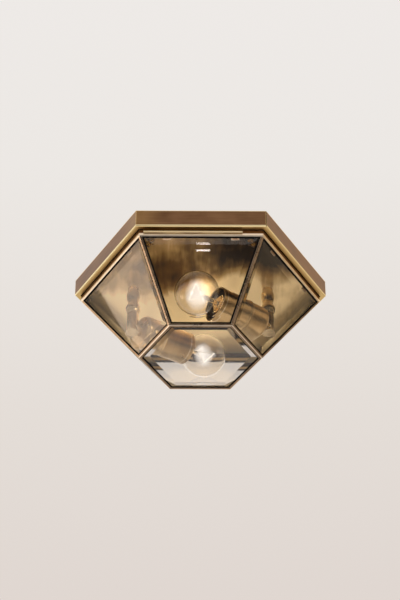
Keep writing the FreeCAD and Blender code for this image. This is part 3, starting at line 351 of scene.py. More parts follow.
def brushed_plate():
    """Thin brass sheet, brushed front to back, its lacquer aged in clouds: the lamp's reflector.

    The eye sees streaks of gold and umber running front to back. On its lower side light and shade are
    painted in: painted light rising towards the rear, painted shade at the front right and towards the
    right side, and painted light towards the left side. It is also darker round a point left of the
    middle. level adds up how bright the colour is: streaks, clouds, the painted light and shade and the
    darker patch of the lower side, and an even share on the upper side.
    """
    material, tree = new_material("brushed_reflector_brass")
    where = add(tree, "TexCoord")["Object"]
    place = add(tree, "SeparateXYZ", {0: where})
    across, along = place["X"], place["Y"]
    upwards = add(tree, "SeparateXYZ", {0: add(tree, "TexCoord")["Normal"]})["Z"]
    shift = add(tree, "MapRange", Value=across, From_Min=-35 * MM, From_Max=35 * MM,
                To_Min=-19 * MM, To_Max=19 * MM)[0]
    slant = add(tree, "Math", {0: along, 1: shift}, operation="ADD")[0]
    dark_patch_middle = (-34 * MM, -31 * MM, -12 * MM)
    from_dark_patch = add(tree, "VectorMath", {0: where, 1: dark_patch_middle}, operation="DISTANCE")["Value"]
    # Each part goes from one value where its source is at the first mark to another at the second
    part = {}
    for name, source, start, end, low, high in (
            ("streaks", grain(tree, where, 6.0, 4.0, (1, 7, 1), 0.55), 0.2, 0.8, 0.22, 0.82),
            ("clouds", grain(tree, where, 30.0, 2.0), 0.2, 0.8, 0.0, 1.0),
            # Painted light rising to the rear, painted shade at the front right, a darker patch left of
            # the middle, painted light at the left side and painted shade at the right side
            ("rear", slant, -21 * MM, 13 * MM, 0.47, 1.95),
            ("front", along, -34 * MM, -57 * MM, 0.0, 1.0),
            ("right", across, 2 * MM, 24 * MM, 0.0, -0.85),
            ("dark_patch", from_dark_patch, 12 * MM, 34 * MM, -0.4, 0.0),
            ("painted_light_left_side", across, -55 * MM, -75 * MM, 0.0, 0.2),
            ("painted_shade_right_side", across, 52 * MM, 70 * MM, 0.0, -0.68),
            ("below", upwards, 0.3, -0.3, 0.0, 1.0),
            ("above", upwards, -0.3, 0.3, 0.0, 0.9)):
        part[name] = add(tree, "MapRange", Value=source, From_Min=start, From_Max=end,
                         To_Min=low, To_Max=high)[0]
    for name, operation, first, second in (
            ("front_right", "MULTIPLY", "front", "right"),
            ("dark", "ADD", "front_right", "dark_patch"),
            ("sides", "ADD", "painted_light_left_side", "painted_shade_right_side"),
            ("shading", "ADD", "dark", "sides"),
            ("lower", "ADD", "rear", "shading"),
            ("lower_side", "MULTIPLY", "lower", "below"),
            ("pattern", "ADD", "streaks", "clouds"),
            ("patterned", "ADD", "pattern", "lower_side"),
            ("level", "ADD", "patterned", "above")):
        part[name] = add(tree, "Math", {0: part[first], 1: part[second]}, operation=operation)[0]
    shade = add(tree, "MapRange", Value=part["level"], From_Min=0.75, From_Max=2.35)[0]
    colour = add(tree, "ValToRGB", Fac=shade,
                 stops=((0.0, "#2a1d0a"), (0.3, "#6a4f26"), (0.62, "#b8945a"), (1.0, "#ffe2aa")))[0]
    brush_lines = grain(tree, where, 0.7, 2.0, (1, 30, 1))
    bump = add(tree, "Bump", Height=brush_lines, Strength=0.25, Distance=0.04 * MM)[0]
    brass = add(tree, "BsdfPrincipled", Base_Color=colour, Normal=bump, Metallic=0.7, Roughness=0.3,
                Anisotropic=0.4)[0]
    add(tree, "OutputMaterial", Surface=brass)
    return material


def clear_glass(name, tint, shadow_tint):
    """Soda-lime glass, float-made or blown, and fire polished.

    The eye sees through it, with crisp reflections; light passes it without a hard shadow.
    """
    material, tree = new_material(name)
    glass = add(tree, "BsdfPrincipled", Base_Color=linear(tint), Roughness=0.0, IOR=1.5,
                Transmission_Weight=1.0)[0]
    through = add(tree, "BsdfTransparent", Color=linear(shadow_tint))[0]
    shadow = add(tree, "LightPath")["Is Shadow Ray"]
    add(tree, "OutputMaterial", Surface=add(tree, "MixShader", {0: shadow, 1: glass, 2: through})[0])
    return material


def fine_grained(name, colour, roughness, metallic=0.0, grain_mm=0.6, depth=0.1, speck="#000000",
                 amount=0.12, **more):
    """A moulded, plated or drawn surface: one colour with specks of another, and a slight relief.

    amount is how far the specks hide the colour; more goes to the shader as it is.
    """
    material, tree = new_material(name)
    pattern = grain(tree, add(tree, "TexCoord")["Object"], grain_mm)
    specks = add(tree, "MapRange", Value=pattern, From_Min=0.35, From_Max=0.75, To_Max=amount)[0]
    tone = add(tree, "Mix", {0: specks, 6: linear(colour), 7: linear(speck)}, data_type="RGBA")[2]
    bump = add(tree, "Bump", Height=pattern, Strength=depth, Distance=0.05 * MM)[0]
    surface = add(tree, "BsdfPrincipled", Base_Color=tone, Normal=bump, Roughness=roughness,
                  Metallic=metallic, **more)[0]
    add(tree, "OutputMaterial", Surface=surface)
    return material


def glowing(name, colour, strength, cover=1.0):
    """Hot tungsten, or the haze of light round it: emission, see-through where cover is below 1."""
    material, tree = new_material(name)
    light = add(tree, "BsdfPrincipled", Base_Color=linear("#000000"), Roughness=1.0,
                Specular_IOR_Level=0.0, Emission_Color=linear(colour), Emission_Strength=strength,
                Alpha=cover)[0]
    material.cycles.emission_sampling = "NONE"
    add(tree, "OutputMaterial", Surface=light)
    return material


def clothe(material, *names):
    """Gives CAD nodes a material of this file."""
    for name in names:
        slots = nodes[name].data.materials
        slots.clear()
        slots.append(material)


def settle(piece, body, slot, material, *replaced):
    """Puts a new piece on its body with its material, and hides the nodes that it stands for. slot is not
    used.
    """
    piece.data.materials.append(material)
    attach(piece, body)
    if replaced:
        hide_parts(*replaced)
    return piece


# Sizes and colours that a user would change

class LightSettings(bpy.types.PropertyGroup):
    """Finishes and light of the ceiling light."""
    patina_dark: bpy.props.StringProperty(
        name="Dark patina", description="Darkest brown of the bronzed brass, sRGB hex", default="#63452f")
    patina_mid: bpy.props.StringProperty(
        name="Mid patina", description="Lighter brown of the bronzed brass, sRGB hex", default="#7b5a41")
    relieved_gold: bpy.props.StringProperty(
        name="Relieved gold", description="Bare brass on rubbed edges, sRGB hex", default="#f0d294")
    brass_roughness: bpy.props.FloatProperty(
        name="Brass roughness", description="Roughness of the satin lacquer", default=0.34, min=0.05,
        max=1.0, subtype="FACTOR")
    glow_strength: bpy.props.FloatProperty(
        name="Glow", description="Brightness of the lamp filaments", default=2.0, min=0.0, max=1000.0)
    bulb_power: bpy.props.FloatProperty(
        name="Bulb power", description="Light that each bulb gives", default=0.025, min=0.0, max=50.0,
        unit="POWER")


class BulbSettings(bpy.types.PropertyGroup):
    """Sizes of the lamp bulbs, in millimetres."""
    globe_radius: bpy.props.FloatProperty(
        name="Globe radius", description="Outer radius of the globe", default=22.5, min=18.0, max=22.5)
    wall: bpy.props.FloatProperty(
        name="Wall", description="Thickness of the glass", default=0.7, min=0.3, max=2.0)
    neck_radius: bpy.props.FloatProperty(
        name="Neck radius", description="Outer radius of the neck", default=7.8, min=5.0, max=9.0)
    neck_end: bpy.props.FloatProperty(
        name="Neck end", description="From the globe's centre to the neck's end", default=32.4, min=28.0,
        max=36.0)
    coil_pitch: bpy.props.FloatProperty(
        name="Coil pitch", description="Length of one turn of the filament", default=0.8, min=0.4,
        max=3.0)
    coil_radius: bpy.props.FloatProperty(
        name="Coil radius", description="Radius of the filament's coil", default=0.45, min=0.2, max=1.5)


def settings():
    """The scene's own values of the light's properties."""
    return bpy.context.scene.ceiling_light


def bulb_sizes():
    """The scene's own values of the bulb's properties."""
    return bpy.context.scene.ceiling_light_bulb


# Pieces

class FinishCanopy(bpy.types.Operator):
    """Finish the canopy, its plate, screws, mounting parts and wiring"""
    bl_idname = "ceiling_light.finish_canopy"
    bl_label = "Canopy"

    def execute(self, context):
        values = settings()
        # Painted highlight: a cream band round the rounded lower fold of the wall
        painted_lip_highlight = (-17.7, -18.2, 1.0, "#fff0c0")
        # Painted light: gold on the underside of the lip
        painted_lip_light = (-19.4, -19.58, 0.9, "#e0bd7c")
        ceiling_edge = (-0.7, -0.2, 0.6, "#f0d294")
        wall = antique_brass(
            "bronzed_brass_wall", values.patina_dark, values.patina_mid, values.relieved_gold,
            values.brass_roughness, ALONG_THE_WALL, 1.2, bands=(painted_lip_highlight, painted_lip_light, ceiling_edge),
            # Painted highlight: gold spreading from the front-left corner; the dark line at the
            # front-right corner is a seam
            corners=((-64, -110.85, 26.0, 0.22, "#bc985c"), (64, -110.85, 0.8, 1.0, "#160e08")),
            # Painted shade: near black on the faces that look inwards, a little lighter towards the
            # ceiling
            inside=((-20, "#1c1009"), (0, "#3a2a1c")))
        clothe(wall, "canopy_wall")
        # Turned, bronzed brass: rings of the tool round it, and gold on its rim
        boss = antique_brass("turned_boss_brass", "#6b4d38", "#8f6c4a", "#e6c486", 0.3, (20, 1, 20), 0.3)
        clothe(boss, "closing_boss")
        clothe(brushed_plate(), "reflector_plate")
        # Turned brass left to go dark: the eye sees small brown buttons on the plate
        clothe(fine_grained("turned_brass_screw", "#6b4f2a", 0.3, 1.0, 2.0, 0.05, "#3c2913", 0.3),
               "plate_screws")
        # Pressed steel, zinc plated: a cool grey with a faint spangle
        clothe(fine_grained("zinc_plated_steel", "#b3b1a9", 0.34, 1.0, 6.0, 0.05, "#6f6d66", 0.35),
               "mounting_plate", "mounting_bushes", "earth_terminal", "terminal_screws",
               "pillar_lock_nuts", "cup_lock_nuts")
        # Moulded nylon: off-white, with the soft gloss of its mould
        clothe(fine_grained("moulded_terminal_nylon", "#e2ded2", 0.5, 0.0, 0.8, 0.1, "#a9a497", 0.15),
               "terminal_block")
        # Extruded wire insulation: tan, smooth, slightly waxy
        clothe(fine_grained("extruded_wire_sheath", "#c9b79a", 0.45, 0.0, 1.5, 0.05, "#8a7a62", 0.2),
               "wiring_left", "wiring_right")
        return {"FINISHED"}


class FinishLantern(bpy.types.Operator):
    """Finish the lantern's brass, glass, seals, clips and hinge"""
    bl_idname = "ceiling_light.finish_lantern"
    bl_label = "Lantern"

    def execute(self, context):
        # Painted shade for the faces that look inwards
        unlit = ((-99, "#2c1f14"), (-20, "#2c1f14"))
        # Folded brass strip, pale from handling, with painted shade on its inner side
        came = antique_brass("bronzed_brass_came", "#86664a", "#bc9878", "#fff0d6", 0.28, ALONG_THE_RIBS,
                             1.0, 12.0, inside=unlit)
        corners = ("front_left", "front_right", "left", "right", "rear_left", "rear_right")
        ribs = ["rib_" + corner for corner in corners]
        clothe(came, "catch_plate", "pane_clips", *ribs)
        # The same strip, darker, with a painted highlight: a cream line along the outer edge of its
        # underside, and painted shade on its inner side
        painted_edge_highlight = (-97.5, 52.4, 52.9, "#fff0dc")
        bottom = antique_brass("bronzed_brass_frame", "#64462a", "#94704e", "#ffe6c6", 0.3,
                               ALONG_THE_RIBS, 0.9, 12.0, outer=painted_edge_highlight, inside=unlit)
        clothe(bottom, "bottom_frame")
        # Folded brass sheet: a brown wall with painted shade, a darker band below the canopy's lip, and a
        # painted highlight along its lower edge; on its faces that look inwards bands of painted shade
        # and a tan band of painted light that shows through the glass
        rim = antique_brass(
            "bronzed_brass_rim", "#86664a", "#b3937a", "#fbe6cc", 0.34, ALONG_THE_WALL, 0.5, 12.0,
            bands=((-20.5, -21.5, 1.0, "#7a583c"), (-23.9, -24.2, 1.0, "#fff0dc")),
            inside=((-27.0, "#150e08"), (-22.8, "#150e08"), (-22.1, "#b2a484"),
                    (-19.6, "#aa9a76"), (-18.4, "#1c130b"), (-13.0, "#4a3a28")))
        clothe(rim, "top_rim")
        # Rolled and pinned brass, dark brown, with bands of painted light and shade: a painted highlight
        # on the barrel, a painted shadow on the leaf below it, and a painted highlight along the leaf's
        # lower edge
        hinge = antique_brass(
            "hinge_brass_painted_light", "#4e361f", "#6b4a2a", "#f4dca2", 0.42, (20, 1, 1), 0.1, 18.0,
            bands=((-22.6, -22.9, 1.0, "#fff0c8"), (-24.35, -24.55, 1.0, "#8a6848"),
                   (-25.15, -25.35, 1.0, "#fff4e2")))
        clothe(hinge, "hinge_leaf_fixed", "hinge_leaf_moving", "hinge_pin")
        sides = ("front", "front_left", "front_right", "rear", "rear_left", "rear_right", "bottom")
        clothe(clear_glass("bevelled_float_glass", "#fdfcfb", "#f2f0ea"), *("pane_" + n for n in sides))
        # Glazing putty: dull black, so that the eye sees a thin dark line round each pane; the line also
        # stands as painted shade in the came's channel
        seal = fine_grained("black_glazing_seal", "#070605", 0.85, 0.0, 0.5, 0.1, "#1c1512", 0.3,
                            Specular_IOR_Level=0.15)
        clothe(seal, "glazing_seals")
        return {"FINISHED"}


def pillar_profile():
    """The pillar from the bottom of its bore, over stub, neck, beads and foot, back to its axis."""
    return np.concatenate([
        [(62.4, 0), (62.4, 3.2), (6.6, 3.2), (6.6, 4.8), (6.8, 5.0), (10.6, 5.0), (10.6, 5.4)],
        [(13.0, 5.4)],
        arc_through((13.2, 5.4), (19.95, 6.6), (26.7, 5.4), 30),
        arc_through((27.0, 5.38), (29.0, 5.36), (31.2, 5.66), 10),
        arc_through((31.4, 5.75), (36.2, 7.3), (41.0, 5.75), 28),
        arc_through((41.2, 5.66), (42.9, 5.38), (44.6, 5.68), 10),
        [(64.8, 5.7), (64.9, 5.8), (64.9, 6.3)],
        arc_points((65.5, 6.0), 0.5, 130, 50, 6), arc_points((65.9, 6.1), 0.3, 60, 0, 5),
        [(66.2, 5.9), (66.2, 0)]])


def cup_profile():
    """The lampholder's cup: outside with roll, ring and shoulder, then back along its inside."""
    return np.concatenate([
        arc_points((23.25, 16.1), 0.65, 290, 60, 16),
        [(24.4, 16.6), (26.6, 16.6), (26.8, 16.45), (27.1, 16.45), (27.3, 16.6), (53.9, 16.6)],
        arc_through((54.0, 16.62), (55.8, 17.4), (57.6, 16.62), 14), [(57.8, 16.6)],
        arc_through((74.0, 16.6), (76.83, 15.43), (78.0, 12.6), 16), [(78.0, 4.05), (77.0, 4.05)],
        arc_through((77.0, 12.6), (76.12, 14.72), (74.0, 15.6), 12), [(24.0, 15.6)]])


def socket_profile():
    """The moulded socket: half an ellipse as front ring, collar, body and neck, back along its bore."""
    t = np.linspace(0, np.pi, 20)
    ring = np.stack([26.2 - 1.8 * np.sin(t), 12.3 - 3.0 * np.cos(t)], -1)
    return np.concatenate([ring, [
        (31.2, 15.3), (31.4, 15.1), (31.4, 12.5), (61.3, 12.5), (61.5, 12.3), (61.5, 8.0), (66.0, 8.0),
        (66.0, 5.2), (57.0, 5.2), (57.0, 7.9), (36.0, 7.9), (36.0, 9.3)]])


class MakeHolders(bpy.types.Operator):
    """Make the turned pillars and the spun lampholders"""
    bl_idname = "ceiling_light.make_holders"
    bl_label = "Pillars and lampholders"

    def execute(self, context):
        axis_x, axis_y = LAMP_JOINTS["right"]["axis"][:2]
        # Turned on a lathe and lightly bronzed: a smooth pale gold that mirrors its surroundings
        turned_brass = antique_brass("turned_bronzed_brass", "#a8906a", "#dac298", "#fff4de", 0.25,
                                     ALONG_THE_WALL, 0.6, 16.0, line_mm=0.5)
        # Spun over a form: fine rings round the cup, brown in the hollows and gold on the ridges
        spun_brass = antique_brass("spun_bronzed_brass", "#a88a5e", "#d2b282", "#fff2d4", 0.3,
                                   ROUND_THE_LAMP, 0.5, 24.0, line_mm=0.5,
                                   yaw=math.atan2(axis_y, axis_x))
        # Compression-moulded phenolic: black, with the hard gloss of its polished mould
        phenolic = fine_grained("moulded_black_phenolic", "#0b0a0a", 0.14, 0.0, 1.2, 0.1, "#262422", 0.2)
        # Drawn brass inside the socket: pale gold, a little tarnished, its colour lightened as painted
        # light from the filament
        shell = fine_grained("drawn_socket_brass", "#ffd898", 0.35, 0.1, 1.0, 0.1, "#a8742e", 0.2)
        for side in SIDES:
            settle(turned("turned_pillar_" + side, pillar_profile(), pillar_frame(side)),
                   "canopy", "antique_brass", turned_brass, "pillar_" + side)
            settle(turned("spun_cup_" + side, cup_profile(), lamp_frame(side), 128, closed=True),
                   "canopy", "antique_brass", spun_brass, "holder_cup_" + side)
            settle(turned("moulded_socket_" + side, socket_profile(), lamp_frame(side), closed=True),
                   "canopy", "black_phenolic", phenolic, "socket_body_" + side)
            clothe(shell, "socket_shell_" + side)
        clothe(spun_brass, "holder_spacers")
        clothe(turned_brass, "holder_nipples")
        clothe(shell, "socket_contacts")
        return {"FINISHED"}


def globe_outline(radius, neck):
    """Outline of the globe: a circle to its exit angle, a cone, and a hollow arc into the neck."""
    exit_degrees, blend_radius = 50, 12.0
    exit_angle = math.radians(exit_degrees)
    circle = arc_points((0, 0), radius, 180, exit_degrees, 60)
    circle[0, 1] = 0
    leave = circle[-1]
    slope = np.array([math.sin(exit_angle), -math.cos(exit_angle)])
    corner = leave + slope * (leave[1] - neck) / math.cos(exit_angle)
    reach = blend_radius * math.tan((math.pi / 2 - exit_angle) / 2)
    centre = (corner[0] + reach, neck + blend_radius)
    hollow = arc_points(centre, blend_radius, 180 + exit_degrees, 270, 14)
    return np.concatenate([circle, hollow, [(bulb_sizes().neck_end, neck)]])


def cap_profile():
    """The screw cap: skirt, rounded thread ridges as a cosine wave, and its inner side."""
    thread_pitch, mean_radius, ridge, first_groove = 2.8, 6.6, 0.3, 34.3
    d = np.linspace(34.0, 49.6, 120)
    wave = mean_radius - ridge * np.cos((d - first_groove) / thread_pitch * 2 * np.pi)
    outer = np.concatenate([
        [(29.6, 7.85), (29.6, 8.1), (29.8, 8.25), (32.6, 8.25), (33.1, 7.9), (33.6, 6.9)],
        np.stack([d, wave], -1), [(50.4, 6.1)]])
    inner = [(50.4, 5.8), (34.4, 5.8), (33.2, 7.4), (32.8, 7.85)]
    return np.concatenate([outer, inner])


def centre_line(corners, steps):
    """Points along straight runs between corners, evenly spaced by length, and that length."""
    corners = np.asarray(corners, float)
    run = np.concatenate([[0], np.cumsum(np.linalg.norm(np.diff(corners, axis=0), axis=1))])
    at = np.linspace(0, run[-1], steps)
    return np.stack([np.interp(at, run, corners[:, i]) for i in range(3)], -1), run[-1]


def filament_path(corners, pitch, radius):
    """A coil along the centre line: centre(s) + radius (cos a n + sin a b), a = 2 pi length / pitch."""
    points_per_turn = 12
    length = centre_line(corners, 2)[1]
    centre, _ = centre_line(corners, int(length / pitch * points_per_turn))
    way = np.gradient(centre, axis=0)
    way /= np.linalg.norm(way, axis=1, keepdims=True)
    first = np.cross(way, (0.6, 0.8, 0.0))
    first /= np.linalg.norm(first, axis=1, keepdims=True)
    second = np.cross(way, first)
    turn = np.linspace(0, length / pitch * 2 * np.pi, len(centre))[:, None]
    return centre + radius * (np.cos(turn) * first + np.sin(turn) * second)


def support_paths(corners):
    """The lead wires and hooks: straight from the stem's top to each corner of the filament."""
    starts = [(9.6, 1.0, 0.4), (9.2, 0.5, 1.0), (9.2, -0.5, 0.9), (9.6, -1.0, -0.4)]
    order = starts if corners[0][1] > corners[-1][1] else starts[::-1]
    return [centre_line((start, corner), 12)[0] for start, corner in zip(order, corners)]


def joined(name, pieces):
    """One object from several."""
    made = bmesh.new()
    for piece in pieces:
        made.from_mesh(piece.data)
        bpy.data.objects.remove(piece)
    mesh = bpy.data.meshes.new(name)
    made.to_mesh(mesh)
    made.free()
    piece = bpy.data.objects.new(name, mesh)
    bpy.context.scene.collection.objects.link(piece)
    return piece


def haze(side, corners):
    """Glare round the filament: tubes along it, and shells, middle + s (width a, width b, tallness c).

    (a, b, c) is on the unit sphere. s grows from core to core + reach by a power, so that the shells
    crowd in the middle.
    """
    t = np.linspace(0, np.pi, 21)
    profile = np.stack([-np.cos(t), np.sin(t)], -1)
    profile[[0, -1], 1] = 0
    height, reach = GLARE[side]
    core, crowding, width, tallness = 1.6, 1.6, 0.75, 1.05
    middle = Matrix.Translation(Vector((0.9, 0, height)) * MM)
    line = centre_line(corners, 40)[0]
    radii = (0.8, 1.3, 1.8, 2.4, 3.0, 3.6)
    made = [tube("shell", line, radius, lamp_frame(side), 12) for radius in radii]
    for k in range(GLARE_SHELLS):
        size = core + reach * (k / GLARE_SHELLS) ** crowding
        scale = Matrix.Diagonal((size * width, size * width, size * tallness, 1))
        placing = lamp_frame(side) @ middle @ scale
        made.append(turned("shell_%s_%d" % (side, k), profile, placing, 32, smooth_angle=80))
    piece = joined("haze_" + side, made)
    piece.visible_diffuse = piece.visible_shadow = False
    return piece


class MakeBulbs(bpy.types.Operator):
    """Make the clear globe bulbs with cap, stem, filament and glow"""
    bl_idname = "ceiling_light.make_bulbs"
    bl_label = "Bulbs"

    def execute(self, context):
        values, sizes = settings(), bulb_sizes()
        glass = clear_glass("blown_bulb_glass", "#fdfaf5", "#fbf8f2")
        # Rolled thin brass: pale gold, dulled where it was handled
        cap = fine_grained("rolled_cap_brass", "#ecd09a", 0.3, 0.6, 1.0, 0.1, "#8f7448", 0.25)
        hot = glowing("glowing_tungsten", "#fff4e4", values.glow_strength)
        glare = glowing("glare_of_the_filament", "#fff7f0", 1.18, 0.042)
        # Drawn nickel-iron wire: a bright warm grey thread
        support = fine_grained("drawn_lead_wire", "#d9ccb4", 0.3, 1.0, 0.5, 0.05)
        stem = [(31.0, 0), (31.0, 7.0), (30.0, 7.0), (28.5, 4.6), (25.0, 2.6), (22.0, 2.2), (9.4, 2.2),
                (9.0, 1.8), (9.0, 0)]
        for side in SIDES:
            body, placing = "bulb_" + side, lamp_frame(side)
            outer = globe_outline(sizes.globe_radius, sizes.neck_radius)
            inner = globe_outline(sizes.globe_radius - sizes.wall, sizes.neck_radius - sizes.wall)
            profile = np.concatenate([outer, inner[::-1]])
            settle(turned("globe_" + side, profile, placing, 128, smooth_angle=80),
                   body, "bulb_glass", glass, "bulb_glass_" + side)
            settle(turned("screw_cap_" + side, cap_profile(), placing, 96, True),
                   body, "nickel_plate", cap, "bulb_cap_" + side)
            corners = FILAMENTS[side]
            coil = filament_path(corners, sizes.coil_pitch, sizes.coil_radius)
            settle(tube("coiled_filament_" + side, coil, 0.14, placing, 6),
                   body, "filament_wire", hot, "filament_" + side)
            wires = [tube("wire", path, 0.3, placing, 8) for path in support_paths(corners)]
            settle(joined("support_wires_" + side, wires),
                   body, "filament_wire", support, "lead_wires_" + side)
            settle(haze(side, corners), body, "filament_wire", glare)
            settle(turned("glass_stem_" + side, stem, placing, 48, smooth_angle=50),
                   body, "bulb_glass", glass, "bulb_stem_" + side)
            # Fused black glass, and a drop of solder on it
            clothe(fine_grained("black_base_glass_" + side, "#08080a", 0.15), "bulb_base_" + side)
            clothe(fine_grained("tinned_tip_" + side, "#a5a39c", 0.35, 1.0), "bulb_tip_" + side)
            self.lamp(side, placing, values)
        return {"FINISHED"}

    def lamp(self, side, placing, values):
        """A small warm lamp where the filament is."""
        off_centre = Vector((-2 * MM, 0, 1 * MM))
        data = bpy.data.lights.new("filament_light_" + side, "POINT")
        data.energy = values.bulb_power
        data.color = linear("#fff6ea")[:3]
        data.shadow_soft_size = 4 * MM
        lamp = bpy.data.objects.new(data.name, data)
        lamp.location = placing @ off_centre
        lamp.visible_camera = lamp.visible_transmission = False
        bpy.context.scene.collection.objects.link(lamp)


class MakeClosingScrew(bpy.types.Operator):
    """Finish the thumbscrew at the rear"""
    bl_idname = "ceiling_light.make_closing_screw"
    bl_label = "Closing screw"

    def execute(self, context):
        # Knurled and bronzed: brown in the grooves, gold on every ridge
        knurled = antique_brass("knurled_brass", "#7b5a34", "#a98350", "#ecd092", 0.28, (1, 20, 1),
                                0.3, 8.0)
        clothe(knurled, "closing_screw")
        return {"FINISHED"}


class MakeStage(bpy.types.Operator):
    """Set the camera, the pale floor, the backdrop and the soft light"""
    bl_idname = "ceiling_light.make_stage"
    bl_label = "Stage"

    def execute(self, context):
        scene = context.scene
        scene.view_settings.view_transform = "Standard"
        # Enough for a ray through two panes, both walls of a bulb and the shells of its glare
        scene.cycles.max_bounces = 28
        scene.cycles.transmission_bounces = 28
        scene.cycles.glossy_bounces = 8
        scene.cycles.transparent_max_bounces = 64
        self.camera(scene)
        self.world(scene)
        self.floor(scene)
        for name, lamp in SOFTBOXES.items():
            self.softbox(name, *lamp)
        return {"FINISHED"}

    def camera(self, scene):
        """The photograph's viewpoint, fitted to the corners of canopy, rim and bottom frame."""
        data = bpy.data.cameras.new("camera")
        data.sensor_width = 36.0
        data.lens = CAMERA_LENS_MM
        data.clip_start, data.clip_end = 0.05, 60.0
        camera = bpy.data.objects.new("camera", data)
        right, up = Vector(CAMERA_RIGHT), Vector(CAMERA_UP)
        back = right.cross(up)
        turn = Matrix((right, up, back)).transposed().to_4x4()
        camera.matrix_world = Matrix.Translation(CAMERA_PLACE) @ turn
        scene.collection.objects.link(camera)
        scene.camera = camera

    def world(self, scene):
        """A pale ceiling above; what metal and glass mirror below it is a warm room lit from the left.

        With (x, y, z) the direction looked in, a mirrored ray that goes down gets the brightest of the
        far wall, rising with y, the floor under the light, rising with -z, and the window, rising with
        -x, plus the floor beside, rising with x x and -z. It is warmer to the right. A diffuse ray gets
        an even fill, brighter from above, and any other ray the plain backdrop.
        """
        world = bpy.data.worlds.new("surround")
        world.use_nodes = True
        scene.world = world
        world.cycles.sampling_method = "NONE"
        tree = world.node_tree
        tree.nodes.clear()
        way = add(tree, "SeparateXYZ", {0: add(tree, "TexCoord")["Generated"]})
        ray = add(tree, "LightPath")
        sideways = add(tree, "Math", {0: way["X"], 1: way["X"]}, operation="MULTIPLY")[0]
        # Each part goes from one value where its source is at the first mark to another at the second
        part = {}
        for name, source, start, end, low, high in (
                ("height", way["Z"], 0.5, 0.73, 0.0, 1.0),
                ("window_side", way["X"], -0.5, -0.97, 0.0, 1.0),
                ("window_height", way["Z"], -0.5, 0.0, 0.05, 0.18),
                ("far_wall", way["Y"], -0.2, 0.8, 0.08, 0.78),
                ("side", sideways, 0.06, 0.5, 0.0, 1.0),
                ("side_floor", way["Z"], -0.3, -0.6, 0.0, 0.6),
                ("under", way["Z"], -0.62, -0.9, 0.0, 1.3),
                ("ceiling", way["Y"], -0.9, 0.5, 0.98, 1.3),
                ("upwards", way["Z"], -0.05, 0.2, 0.0, 1.0),
                ("warmer", way["X"], 0.2, 0.7, 0.0, 1.0),
                ("fill", way["Z"], -0.1, 0.1, 0.5, 1.0),
                ("mirrored", ray["Glossy Depth"], 0.4, 0.6, 0.0, 1.0)):
            part[name] = add(tree, "MapRange", Value=source, From_Min=start, From_Max=end,
                             To_Min=low, To_Max=high)[0]
        for name, operation, first, second in (
                ("window", "MULTIPLY", "window_side", "window_height"),
                ("beside", "MULTIPLY", "side", "side_floor"),
                ("near", "ADD", "window", "beside"),
                ("far", "MAXIMUM", "far_wall", "under"),
                ("room", "MAXIMUM", "near", "far")):
            part[name] = add(tree, "Math", {0: part[first], 1: part[second]}, operation=operation)[0]
        backdrop = add(tree, "ValToRGB", Fac=part["height"],
                       stops=((0.0, "#e0d7d1"), (0.3, "#e4ddd7"), (0.72, "#ece8e4"), (1.0, "#eeeae7")))[0]
        level = add(tree, "Mix", {0: part["upwards"], 2: part["room"], 3: part["ceiling"]})[0]
        paint = add(tree, "Mix", {0: part["warmer"], 6: linear("#f1e9e1"), 7: linear("#e6d0b2")},
                    data_type="RGBA")[2]
        seen = add(tree, "Background", Color=backdrop, Strength=1.0)[0]
        mirrored = add(tree, "Background", Color=paint, Strength=level)[0]
        fill = add(tree, "Background", Color=linear("#f1ece6"), Strength=part["fill"])[0]
        direct = add(tree, "MixShader", {0: part["mirrored"], 1: seen, 2: mirrored})[0]
        surround = add(tree, "MixShader", {0: ray["Is Diffuse Ray"], 1: direct, 2: fill})[0]
        add(tree, "OutputWorld", Surface=surround)

    def floor(self, scene):
        """A pale floor well below the light, z = constant.

        It is matt emulsion paint, with faint large patches. Mirrored rays pass it to the room's shade.
        """
        reach, level = 30.0, -1.75
        mesh = bpy.data.meshes.new("floor")
        corners = [(x * reach, y * reach, level) for x, y in ((-1, -1), (1, -1), (1, 1), (-1, 1))]
        mesh.from_pydata(corners, [], [(0, 1, 2, 3)])
        floor = bpy.data.objects.new("floor", mesh)
        material, tree = new_material("painted_floor")
        patches = grain(tree, add(tree, "TexCoord")["Object"], 900.0, 2.0)
        tone = add(tree, "ValToRGB", Fac=patches, stops=((0.3, "#e9e5e0"), (0.7, "#edeae5")))[0]
        paint = add(tree, "BsdfPrincipled", Base_Color=tone, Roughness=0.9)[0]
        passed = add(tree, "BsdfTransparent")[0]
        depth = add(tree, "LightPath")["Glossy Depth"]
        mirrored = add(tree, "MapRange", Value=depth, From_Min=0.4, From_Max=0.6)[0]
        add(tree, "OutputMaterial", Surface=add(tree, "MixShader", {0: mirrored, 1: paint, 2: passed})[0])
        mesh.materials.append(material)
        scene.collection.objects.link(floor)

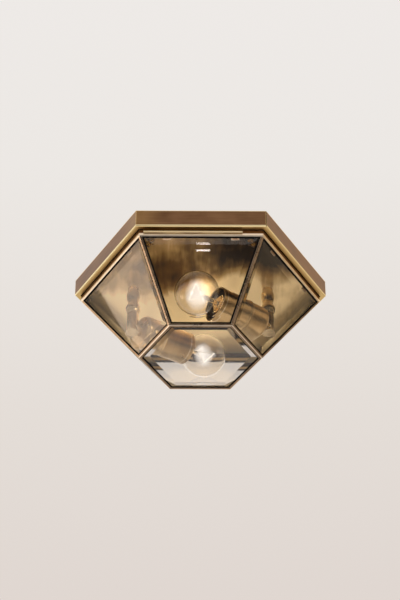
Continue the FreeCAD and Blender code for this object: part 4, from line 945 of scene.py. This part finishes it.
    def softbox(self, name, place, width, height, power, colour, roll):
        """A soft rectangular lamp that points at the lantern, turned by roll degrees about its axis."""
        data = bpy.data.lights.new(name, "AREA")
        data.shape = "RECTANGLE"
        data.size, data.size_y = width, height
        data.energy = power
        data.color = linear(colour)[:3]
        lamp = bpy.data.objects.new(name, data)
        lantern = Vector((0, 0, -0.05))
        turn = (lantern - Vector(place)).to_track_quat("-Z", "Y").to_matrix().to_4x4()
        lamp.matrix_world = Matrix.Translation(place) @ turn @ Matrix.Rotation(math.radians(roll), 4, "Z")
        lamp.visible_camera = False
        bpy.context.scene.collection.objects.link(lamp)


class CeilingLightPanel(bpy.types.Panel):
    """Lists the light's pieces and finishes"""
    bl_idname = "VIEW3D_PT_ceiling_light"
    bl_label = "Ceiling light"
    bl_space_type = "VIEW_3D"
    bl_region_type = "UI"
    bl_category = "Ceiling light"

    def draw(self, context):
        layout = self.layout
        for group in (settings(), bulb_sizes()):
            for name in group.bl_rna.properties.keys():
                if name not in ("rna_type", "name"):
                    layout.prop(group, name)
        for step in STEPS:
            layout.operator(step.bl_idname)


STEPS = (MakeStage, FinishCanopy, FinishLantern, MakeHolders, MakeBulbs, MakeClosingScrew)
CLASSES = (LightSettings, BulbSettings, *STEPS, CeilingLightPanel)


def register():
    """Registers the classes and puts their properties on the scene."""
    for made in CLASSES:
        bpy.utils.register_class(made)
    bpy.types.Scene.ceiling_light = bpy.props.PointerProperty(type=LightSettings)
    bpy.types.Scene.ceiling_light_bulb = bpy.props.PointerProperty(type=BulbSettings)


def unregister():
    """Removes the properties and the classes."""
    del bpy.types.Scene.ceiling_light_bulb
    del bpy.types.Scene.ceiling_light
    for made in reversed(CLASSES):
        bpy.utils.unregister_class(made)


def main():
    """Registers the steps and makes every piece in order."""
    register()
    bpy.ops.ceiling_light.make_stage()
    bpy.ops.ceiling_light.finish_canopy()
    bpy.ops.ceiling_light.finish_lantern()
    bpy.ops.ceiling_light.make_holders()
    bpy.ops.ceiling_light.make_bulbs()
    bpy.ops.ceiling_light.make_closing_screw()


if __name__ == "__main__":
    main()
